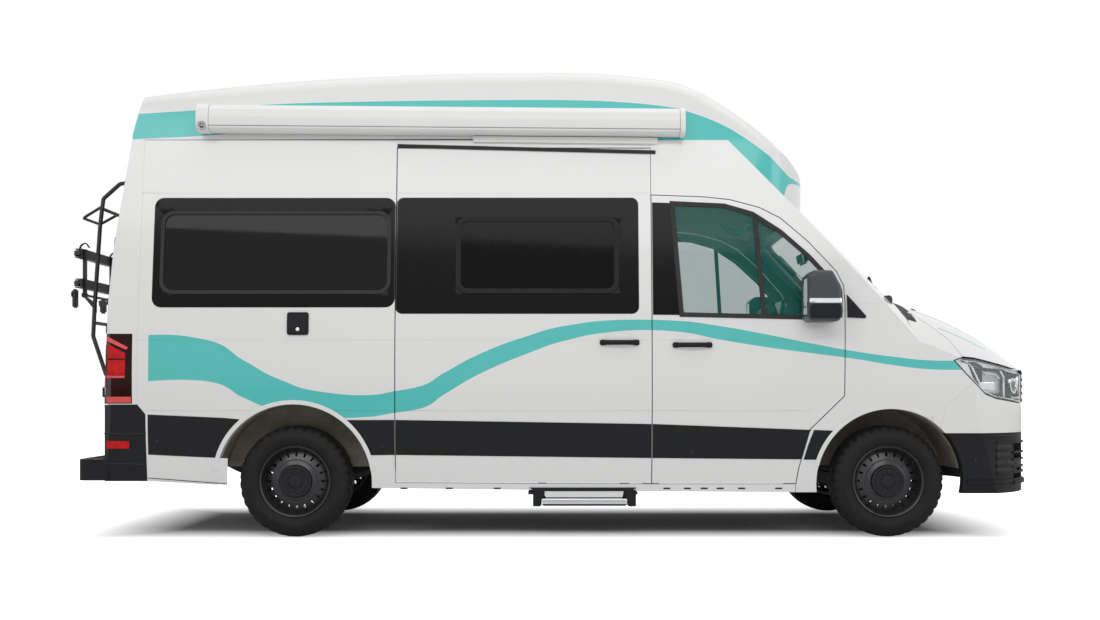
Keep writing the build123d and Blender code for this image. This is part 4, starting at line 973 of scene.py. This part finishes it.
# ---------------------------------------------------------------- tail: lamps, reflectors, doors, bumper
TAIL_CELL = (30, 60)
for sign, side in SIDES:
    for name, material, outline, proud in (
        ("red", "red_lens", [(-2714, 1182), (-2610, 1128), (-2610, 992), (-2714, 992)], 3.0),
        ("diagonal", "pale_red_lens", [(-2722, 1230), (-2592, 1162), (-2606, 1148), (-2722, 1202)], 3.0),
        ("line", "pale_red_lens", [(-2722, 990), (-2612, 990), (-2612, 976), (-2722, 976)], 3.0),
        ("foot", "pale_red_lens", [(-2724, 862), (-2574, 862), (-2574, 826), (-2724, 826)], 3.0),
        ("bar", "dark_lens", [(-2714, 1094), (-2612, 1094), (-2612, 1086), (-2714, 1086)], 4.5),
    ):
        plate(f"tail_lamp_{name}_{side}", side, outline, material, proud, 2, 1.2, TAIL_CELL, slot="lamp_red")
    lamp_y = sorted((sign * 918, sign * 974))
    for name, material, z_low, z_high in (
        ("brake", "red_lens", 1010, 1180), ("turn", "pale_red_lens", 930, 990),
        ("reverse", "lamp_grey", 870, 920),
    ):
        lens = rectangle(*lamp_y, z_low, z_high, 8)
        plate(f"tail_lamp_{name}_{side}", "rear", lens, material, 3, 2, 1.5, TAIL_CELL, square=True)
    # the reflector, the white corner under the dark cladding, and a near-black strip along its foot that is
    # painted shade of a groove
    for name, outline, material, *values in (
        ("reflector", rectangle(-2728, -2590, 546, 592, 6), "red_lens", 2.5, 1.5, 1, COARSE),
        ("corner_panel", [(-2480, 506), (-1992, 486), (-2000, 322), (-2484, 358)], "paint", 3, 1, 2,
         (80, 60)),
        # painted shade: the groove is a near-black strip
        ("corner_panel_groove", [(-2482, 368), (-2002, 332), (-2002, 327), (-2482, 363)], "rubber", 3.6, 1, 0,
         (80, 60)),
    ):
        plate(f"{name}_{side}", side, outline, material, *values)
    door = f"tail_door_{side}"
    pane = rounded([(sign * y, z, 50) for y, z in ((152, 1482), (768, 1482), (745, 2058), (152, 2058))])
    plate(f"rear_window_seal_{side}", "rear", [grown(pane, 24), grown(pane, -8)], "rubber", 4, 3, 2, WIDE,
          body=door)
    for number, (z, y_in, y_out) in enumerate(((860, 895, 952), (1250, 895, 952), (1790, 858, 905))):
        hinge = rectangle(*sorted((sign * y_in, sign * y_out)), z, z + 60, 8)
        plate(f"rear_hinge_{side}_{number}", "rear", hinge, "plastic", 16, 3, 5, COARSE)
    for number, z in enumerate((1020, 1395, 700)):
        bead = rectangle(*sorted((sign * 120, sign * 800)), z, z + 9, 3, 3)
        plate(f"rear_door_bead_{side}_{number}", "rear", bead, "paint", 5, 2, 3, (60, 40), body=door)
for name, outline, material, *values in (
    ("handle_plate", rectangle(70, 250, 1105, 1195, 16), "plastic", 6, 2, 2, COARSE),
    ("handle", rectangle(88, 232, 1150, 1178, 12), "gloss_black", 26, 0, 8, COARSE),
    ("lock", ellipse(110, 1125, 10, 10), "chrome", 9, 1, 1),
):
    plate(f"rear_door_{name}", "rear", outline, material, *values, body="tail_door_left")
plate("third_brake_light", "rear", rectangle(-190, 190, 2362, 2396, 12), "red_lens", 12, 3, 5, COARSE,
      slot="lamp_red")
plate("camera_cover", "rear", rectangle(-46, 46, 2418, 2462, 14), "plastic", 22, 3, 8, COARSE)
STEP_RIB_X = [-2898 + 15 * number for number in range(9)]
solid("bumper_step_ribs", "rubber", *((block, (x, x + 7), (-880, 880), (480, 483.5), 1) for x in STEP_RIB_X))
for sign, side in SIDES:
    for name, outline in (
        ("seam", rectangle(-2745, -2486, 636, 641)),
        ("shadow_line", [(-2742, 460), (-2490, 452), (-2490, 446), (-2742, 454)]),
    ):
        plate(f"bumper_{name}_{side}", side, outline, "rubber", 1, 2, 0, (60, 40))

# ---------------------------------------------------------------- bike rack
RACK_Y = (-670, -110)


def knob(name, centre, radius, length, axis, body, material="rack"):
    """A hand knob with five lobes."""
    def lobes(i, k):
        return -radius * 0.16 if 0 < i < 4 and (k // 4) % 2 else 0

    profile = [(-length / 2, 0.5), (-length / 2, radius), (length * 0.3, radius), (length / 2, radius * 0.7),
               (length / 2, 0.5)]
    solid(name, material, (lathe, centre, profile, 40, axis, lobes), body=body)


for number, (x, y, z) in enumerate(((-3010, -690, 1773), (-3022, -690, 1577), (-3010, -90, 1773),
                                    (-3022, -90, 1577))):
    knob(f"rack_knob_{number}", (x, y, z), 17, 24, "y", "bike_platform")
for number, y in enumerate((-718, -62)):
    solid(f"wheel_cup_{number}", "rack", (block, (-3036, -3010), (y - 24, y + 24), (1422, 1540), 7),
          (block, (-3040, -3032), (y - 30, y + 30), (1490, 1524), 3), body="bike_platform")
for number, y in enumerate(RACK_Y):
    strap = [(-2952, y, 1808), (-2975, y, 1835), (-3008, y, 1812), (-3012, y, 1745), (-2990, y, 1735)]
    sweep(f"rack_strap_{number}", smooth_path(strap, 5), 10, "rubber", "bike_platform", 8, scale=(1.6, 0.35))
    knob(f"frame_grip_{number}", (-2862, y, 1452), 26, 44, "y", "tail_door_right")
    solid(f"frame_clamp_{number}", "rack", (block, (-2880, -2846), (y - 22, y + 22), (1388, 1440), 9),
          body="tail_door_right")
    for x, z in ((-2740, 2215), (-2766, 950)):
        knob(f"foot_bolt_{number}_{z}", (x, y, z), 9, 12, "x", "tail_door_right", "steel")

# ---------------------------------------------------------------- awning, roof
AWNING_REAR, AWNING_FRONT = -2185, 801
REAR_CAP, FRONT_CAP, CAP_GAP = 77, 33, 2
AWNING_MIDDLE, ROOF_DROP = -692, 0.0085  # the awning falls towards the front, as the roof's edge does
HOUSING_X = (AWNING_REAR + REAR_CAP, AWNING_FRONT - FRONT_CAP)


def awning_part(name, material, *shape, smooth=38):
    """A part of the awning, sheared so that it follows the roof."""
    thing = solid(name, material, shape, smooth=smooth)
    for vertex in thing.data.vertices:
        vertex.co.z -= (vertex.co.x - AWNING_MIDDLE * MM) * ROOF_DROP
    return thing


# sections in (y, z)
CASSETTE = rounded([(-872, 2508, 0), (-999, 2508, 4), (-1001, 2560, 60), (-996, 2606, 22), (-962, 2640, 26),
                    (-847, 2640, 0)], 6)
LEAD_RAIL = rounded([(-880, 2479, 0), (-962, 2479, 10), (-997, 2492, 14), (-998, 2504, 2), (-880, 2504, 0)])
GAP_SEAL = [(-872, 2500), (-994, 2500), (-994, 2512), (-872, 2512)]
END_CAP = rounded([(-872, 2476, 0), (-968, 2472, 16), (-1004, 2490, 22), (-1006, 2560, 60), (-1001, 2610, 26),
                   (-964, 2645, 28), (-847, 2645, 0)], 6)
cassette = awning_part("awning_cassette", "awning", prism, CASSETTE, "x", *HOUSING_X, smooth=30)
awning_part("awning_lead_rail", "awning", prism, LEAD_RAIL, "x", *HOUSING_X, smooth=30)
awning_part("awning_gap_seal", "lamp_pillar", prism, GAP_SEAL, "x", AWNING_REAR + 20, AWNING_FRONT - 20)
for key, *cap_x in (
    ("rear", AWNING_REAR, HOUSING_X[0] - CAP_GAP),
    ("front", HOUSING_X[1] + CAP_GAP, AWNING_FRONT),
):
    awning_part(f"awning_cap_{key}", "awning", prism, END_CAP, "x", *cap_x, 5, smooth=30)
awning_part("awning_winch_ring", "lamp_grey", lathe, (-2149, -1004, 2504),
            [(9, 0.3), (9, 15), (-2, 17), (-6, 22), (-6, 27), (4, 30)], 32)
awning_part("awning_winch_eye", "rubber", lathe, (-2149, -1006, 2504),
            [(6, 0.3), (6, 11), (-3, 12), (-3, 8), (2, 7), (2, 0.3)], 24)
RAIL = rounded([(-1995, 2452, 16), (640, 2424, 16), (640, 2462, 0), (-1995, 2484, 0)])
plate("awning_rail", "right", RAIL, "awning", 22, 2, 5,
      tree=node_tree(["high_roof", "side_right", "sliding_door", "cab_frame"]))
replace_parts(cassette, "awning")
welded_skin("roof_skin", "high_roof", "roof")


# ---------------------------------------------------------------- entry step
def step_bracket(inner, outer, lean):
    """A plate in (x, z) that carries the tread, between its inner and its outer edge."""
    return [(outer, 290), (inner + lean, 290), (inner + lean, 262), (inner, 238), (inner, 197),
            (inner - lean, 190), (outer, 192)]


solid("step_brackets", "plastic",
      (prism, [(-152, 306), (-120, 284), (470, 284), (504, 306)], "y", -975, -950, 1.5),
      *((prism, step_bracket(*values), "y", -972, -770, 4) for values in ((-78, -130, 14), (449, 501, -14))))
solid("step_fascia", "aluminium",
      (prism, [(-61, 290), (426, 290), (418, 246), (-53, 246)], "y", -967, -960, 1.5))
step_body = nodes["step_tread"]["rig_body"]
TREAD_RIB_Y = [-952 + 16 * number for number in range(15)]
solid("step_tread_ribs", "rubber", *((block, (-68, 438), (y, y + 7), (235, 239), 1) for y in TREAD_RIB_Y),
      body=step_body)
solid("step_tread_nose", "aluminium", (prism, rounded([
    (-984, 207, 4), (-975, 203, 3), (-952, 203, 3), (-952, 238, 3), (-975, 241, 5), (-984, 236, 5)], 4),
    "x", -75, 445, 2), body=step_body)
solid("step_tread_edge", "plastic",
      (prism, [(-74, 204), (444, 204), (436, 195), (-66, 195)], "y", -978, -958, 1),
      *((prism, rectangle(-70, 440, z, z + 1.6), "y", -985.5, -980) for z in (219, 226)), body=step_body)

# ---------------------------------------------------------------- pressed lines along the body
UPPER_LINE, MIDDLE_LINE, LOW_LINE = (2116, 2124, 1.6), (1210, 1219, 1.5), (778, 806, 3.0)  # from, to, proud
DOOR_START = 600  # lines ahead of this lie on the cab doors
for sign, side in SIDES:
    door = f"front_door_{side}"
    for key, (z_low, z_high, proud), *reach in (
        ("upper_quarter", UPPER_LINE, -2540, -975), ("upper_slide", UPPER_LINE, -958, 588),
        ("middle_quarter", MIDDLE_LINE, -2545, -975), ("middle_slide", MIDDLE_LINE, -958, 588),
        ("middle_door", MIDDLE_LINE, 606, 1725), ("low_corner", LOW_LINE, -2470, -1840),
        ("low_behind_door", LOW_LINE, -1340, -975), ("low_slide", LOW_LINE, -958, 588),
        ("low_door", LOW_LINE, 606, 1570),
    ):
        plate(f"pressed_line_{key}_{side}", side, rectangle(*reach, z_low, z_high), "graphic", proud, 1.0,
              proud * 0.95, (150, 60), smooth=60, body=door if reach[0] > DOOR_START else "van_body")


# ---------------------------------------------------------------- cab: seats
def pad(name, centre, size, tilt, channels=(), crown=0.2, bolster=0.0, material="cloth"):
    """A sewn cushion: a crowned closed form of size (length, width, thickness) whose sides pull in between
    the corners, turned by tilt degrees about Y, with channels sewn across it at places from -1 to 1."""
    bm = bmesh.new()
    bmesh.ops.create_cube(bm, size=2.0)
    bmesh.ops.subdivide_edges(bm, edges=bm.edges[:], cuts=23, use_grid_fill=True)
    turn = Matrix.Rotation(math.radians(tilt), 3, "Y")
    half = Vector(size) / 2
    for vert in bm.verts:
        x, y, z = vert.co
        power = (abs(x) ** 5 + abs(y) ** 5 + abs(z) ** 5) ** 0.2
        x, y, z = x / power, y / power, z / power
        waist = 1 - 0.03 * (1 - abs(z)) * (1 - (x * y) ** 2)
        height = (1 - crown) + crown * (1 - x ** 4) * (1 - y ** 4)
        if z > 0:
            height += bolster * max(0.0, abs(y) - 0.55) ** 2 * 4
            for channel in channels:
                height -= 0.13 * math.exp(-((x - channel) / 0.03) ** 2) * (1 - y ** 6)
            for seam in (-0.58, 0.58):
                height -= 0.10 * math.exp(-((y - seam) / 0.035) ** 2) * (1 - x ** 8)
        shape = Vector((x * waist * half.x, y * waist * half.y, z * height * half.z))
        vert.co = (Vector(centre) + turn @ shape) * MM
    thing = make_object(name, bm, material, smooth=60)
    outline = []
    for u, v in ellipse(0, 0, 1, 1, 64):
        reach = 0.985 * (abs(u) ** 5 + abs(v) ** 5) ** -0.2
        outline.append(Vector(centre) + turn @ Vector((u * reach * half.x, v * reach * half.y, 0)))
    sweep(f"{name}_piping", outline, 4, "rubber", sides=8, closed=True)
    return thing


SEAT_Y = 420
SEAT_SHIELD = rounded([(640, 800, 20), (790, 800, 30), (760, 880, 20), (700, 900, 20)], 4)
for sign, side in SIDES:
    y = sign * SEAT_Y
    back = pad(f"seat_back_{side}", (655, y, 1150), (640, 480, 118), -83, (-0.62, -0.2, 0.22), 0.22,
               0.9)
    if side == "right":
        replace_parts(back, "cab_seats")
    pad(f"seat_cushion_{side}", (905, y, 893), (470, 490, 146), -3, (-0.35, 0.2), 0.2, 0.7)
    pad(f"seat_headrest_{side}", (606, y, 1556), (150, 270, 100), -83, (), 0.25)
    solid(f"seat_base_{side}", "dash", (block, (712, 1070), (y - 185, y + 185), (621, 815), 14),
          (block, (690, 1100), (y - 215, y + 215), (806, 832), 8),
          *((prism, SEAT_SHIELD, "y", low, low + 14, 3) for low in (y - 246, y + 232)))
    for number, post_y in enumerate((y - 60, y + 60)):
        sweep(f"headrest_post_{side}_{number}", [(622, post_y, 1430), (612, post_y, 1510)], 6, "chrome")
    pad(f"seat_armrest_{side}", (815, y - sign * 240, 1085), (330, 52, 60), -4, (), 0.15)

# ---------------------------------------------------------------- cab: dashboard, lining, mirror
for name, material, steps, corners, *values in (
    ("dash_top_pad", "dash", 6, [(1555, 1262, 10), (1700, 1325, 30), (2110, 1352, 10), (2120, 1500, 20),
                                 (1900, 1470, 120), (1700, 1430, 60), (1560, 1345, 30)], -790, 790, 14),
    ("instrument_hood", "dash", 6, [(1470, 1290, 14), (1560, 1300, 10), (1720, 1420, 10), (1640, 1500, 40),
                                    (1520, 1512, 24), (1462, 1440, 20)], 250, 550, 22),
    ("instrument_face", "film_glass", 3, [(1452, 1330, 4), (1462, 1330, 4), (1508, 1470, 4), (1498, 1470, 4)],
     275, 525, 3),
    ("centre_screen", "film_glass", 3, [(1515, 1345, 6), (1540, 1345, 6), (1568, 1510, 6), (1543, 1510, 6)],
     -135, 135, 5),
):
    solid(name, material, (prism, rounded(corners, steps), "y", *values))
VENT = rounded([(1448, 1150, 4), (1472, 1140, 4), (1545, 1232, 4), (1530, 1246, 4)], 3)
VANES = [(1452 + 14 * k, 1166 + 16.5 * k) for k in range(5)]
for number, y in enumerate((-700, -190, 190, 700)):
    solid(f"air_vent_{number}", "gloss_black", (prism, VENT, "y", y - 70, y + 70, 4),
          *((block, (x, x + 14), (y - 58, y + 58), (z, z + 4), 1) for x, z in VANES))
GLOVE_BOX = rounded([(1437, 1010, 10), (1447, 1010, 10), (1434, 1120, 10), (1424, 1120, 10)], 3)
GLOVE_BOX_PULL = rounded([(1440, 1090, 4), (1444, 1090, 4), (1436, 1112, 4), (1418, 1112, 4)], 3)
solid("glove_box_lid", "dash", (prism, GLOVE_BOX, "y", -640, -250, 5),
      (prism, GLOVE_BOX_PULL, "y", -480, -410, 2))


def on_wheel(point):
    """Lays the airbag pad on the steering wheel, facing the driver and a little wider than it is high."""
    return turned(28, (1.31, 0.4, 1.15))(Vector((-point.x, 1.15 * point.y, point.z)))


solid("steering_wheel_pad", "dash", (
    lathe, (0, 0, 0), [(-14, 0.3), (-14, 74), (10, 72), (24, 58), (30, 30), (31, 0.3)], 36, "x"),
    body="hand_wheel", change=on_wheel)
solid("cab_headlining", "lamp_pillar", (prism, [
    (600, 2150), (1180, 2138), (1440, 2110), (1446, 2124), (1184, 2152), (600, 2164)], "y", -690, 690, 4),
    (prism, [(1440, 2104), (1560, 2064), (1566, 2076), (1446, 2118)], "y", -480, 480, 4))
FRONT_TREE = node_tree(["body_glass", "cab_frame"])
for sign, side in SIDES:
    pad(f"sun_visor_{side}", (1470, sign * 350, 2044), (170, 380, 26), 20, (), 0.1, material="dash")
    pillar = [surface_point("front", sign * (676 + 10 * k), 1990 - 68 * k, FRONT_TREE)[0] for k in range(7)]
    sweep(f"screen_pillar_trim_{side}", [point + Vector((-66, 0, -58)) for point in pillar], 40,
          "lamp_pillar", scale=(1.3, 0.7))
    grab = [(1590, sign * 722, 1960), (1600, sign * 690, 1935), (1690, sign * 690, 1850),
            (1780, sign * 700, 1768), (1792, sign * 728, 1758)]
    sweep(f"grab_handle_{side}", smooth_path(grab), 13, "dash", sides=10)
for name, material, place, *shape in (
    ("interior_mirror", "gloss_black", (1.71, 0, 1.80), (-17, 17), (-118, 118), (-36, 36), 14),
    ("interior_mirror_glass", "mirror_glass", (1.6915, 0, 1.8038), (-2, 2), (-108, 108), (-28, 28), 1.5),
):
    solid(name, material, (block, *shape), change=turned(-12, place))
sweep("interior_mirror_stem", smooth_path([(1726, 0, 1802), (1770, 0, 1830), (1796, 0, 1868)], 5), 9, "dash")

# ---------------------------------------------------------------- linings on the inside of the doors
INNER_FACE = 60  # how far the inside of a door is from its outside
LINING = rounded([(655, 425, 30), (1430, 425, 40), (1480, 600, 40), (1530, 760, 60), (1610, 1060, 60),
                  (1672, 1328, 20), (655, 1328, 20)])
for sign, side in SIDES:
    for name, outline, material, proud, sunk, edge in (
        ("lining", LINING, "dash", 7, 0.5, 3),
        ("armrest", rectangle(880, 1330, 1040, 1098, 26), "dash", 58, 5, 12),
        ("pocket", rectangle(760, 1400, 470, 640, 40), "dash", 46, 5, 10),
        ("speaker", ellipse(1240, 820, 92, 92, 36), "rubber", 15, 5, 5),
        ("lever", rectangle(1420, 1520, 1150, 1180, 12), "chrome", 20, 5, 5),
    ):
        plate(f"door_{name}_{side}", side, outline, material, -INNER_FACE - proud, INNER_FACE + sunk, edge,
              body=f"front_door_{side}")
    tail_tree = node_tree([f"rear_door_{side}"])
    for name, ends, heights, radius, material, *values in (
        ("lining", (70, 800), (660, 1400), 30, "liner_white", 6, 1, 3),
        ("pull", (110, 250), (1300, 1330), 12, "dash", 30, 1, 8),
    ):
        outline = rectangle(*sorted(sign * y for y in ends), *heights, radius)
        plate(f"tail_{name}_{side}", "tail_inside", outline, material, *values, tree=tail_tree,
              body=f"tail_door_{side}")

# ---------------------------------------------------------------- underneath: exhaust, tank, shaft
SILENCER, SILENCER_FLATNESS = (550, 300, 378), 0.72


def flattened(point):
    """Makes the round silencer oval."""
    return Vector((point.x, point.y, point.z + (SILENCER[2] * MM - point.z) * (1 - SILENCER_FLATNESS)))


sweep("exhaust_pipe", smooth_path([(1900, 180, 430), (1300, 250, 400), (700, 300, 380), (-200, 300, 380),
                                   (-900, 300, 390), (-1250, 250, 420)]), 30, "steel", sides=16)
solid("exhaust_silencer", "steel", (
    lathe, SILENCER, [(-420, 32), (-400, 86), (-380, 94), (380, 94), (400, 86), (420, 32)], 32, "x"),
    change=flattened)
solid("fuel_tank", "plastic", (block, (-800, -150), (-380, -60), (330, 540), 40))
solid("prop_shaft", "underbody", (lathe, (0, 0, 400), [
    (-1480, 0.3), (-1480, 42), (-1440, 30), (1850, 30), (1890, 44), (1930, 44), (1930, 0.3)], 24, "x"))

# ---------------------------------------------------------------- camera, floor and light, in metres
camera_data = bpy.data.cameras.new("camera")
camera_data.lens = 42.205
camera_data.sensor_width = 36.0
camera_data.sensor_fit = "HORIZONTAL"
camera_data.shift_y = 0.0732
camera_data.clip_end = 200.0
camera = bpy.data.objects.new("camera", camera_data)
camera.location = (-0.0258, -8.861, 0.900)
camera.rotation_euler = (math.radians(90), 0, 0)
scene.collection.objects.link(camera)
scene.camera = camera
scene.view_settings.view_transform = "Standard"

# the backdrop is white for the camera and in reflections, and half as strong as a light
scene.world = bpy.data.worlds.new("studio")
scene.world.use_nodes = True
sky = Net(scene.world.node_tree)
ray = sky.node("ShaderNodeLightPath").outputs
seen = sky.math("MAXIMUM", ray["Is Camera Ray"], ray["Is Transmission Ray"])
seen = sky.math("MAXIMUM", seen, ray["Is Glossy Ray"])
strength = sky.span(seen, 0.0, 1.0, 0.5, 1.0)
backdrop = sky.filled("ShaderNodeBackground", {"Color": (1, 1, 1, 1), "Strength": strength})
sky.link(backdrop, sky.node("ShaderNodeOutputWorld").inputs["Surface"])


def area_light(name, location, target, size, power):
    data = bpy.data.lights.new(name, "AREA")
    data.shape = "RECTANGLE"
    data.size, data.size_y = size
    data.energy = power
    light = bpy.data.objects.new(name, data)
    light.location = location
    light.rotation_euler = (Vector(target) - Vector(location)).to_track_quat("-Z", "Y").to_euler()
    scene.collection.objects.link(light)


area_light("overhead", (0.2, -1.0, 7.5), (0, 0, 0), (9, 6), 146)
area_light("near_side", (-1.0, -8.5, 5.8), (0, -0.5, 1.2), (10, 2.4), 192)
area_light("front", (8.5, -3.0, 4.0), (2.0, 0, 1.2), (4, 4), 84)

FLOOR_REACH = 60
floor_mesh = bpy.data.meshes.new("floor")
floor_corners = [(u, v, 0) for u, v in rectangle(-FLOOR_REACH, FLOOR_REACH, -FLOOR_REACH, FLOOR_REACH)]
floor_mesh.from_pydata(floor_corners, [], [(0, 1, 2, 3)])
floor = bpy.data.objects.new("floor", floor_mesh)
scene.collection.objects.link(floor)
g = Graph("studio_floor")
for name, value in (("Base Color", (0.92, 0.92, 0.92)), ("Roughness", 0.9), ("Specular IOR Level", 0.0),
                    ("Emission Color", (1, 1, 1, 1))):
    g.set(name, value)
# seen by the camera, the floor brightens away from the van until it is as white as the backdrop; near the van
# this rise is painted light that sets where the van's shadow fades out
off_x = g.math("SUBTRACT", g.math("ABSOLUTE", g.x), 2.4)
off_y = g.math("SUBTRACT", g.math("ABSOLUTE", g.y), 0.55)
off_van = g.math("MAXIMUM", g.math("MAXIMUM", off_x, off_y), 0.0)
painted_floor_light = g.math("ADD", g.span(off_van, 0.0, 0.55, 0.0, 0.7), g.span(off_van, 0.55, 3.0, 0.0, 0.3))
g.set("Emission Strength", g.times(g.node("ShaderNodeLightPath").outputs["Is Camera Ray"], painted_floor_light))
floor.data.materials.append(g.material)
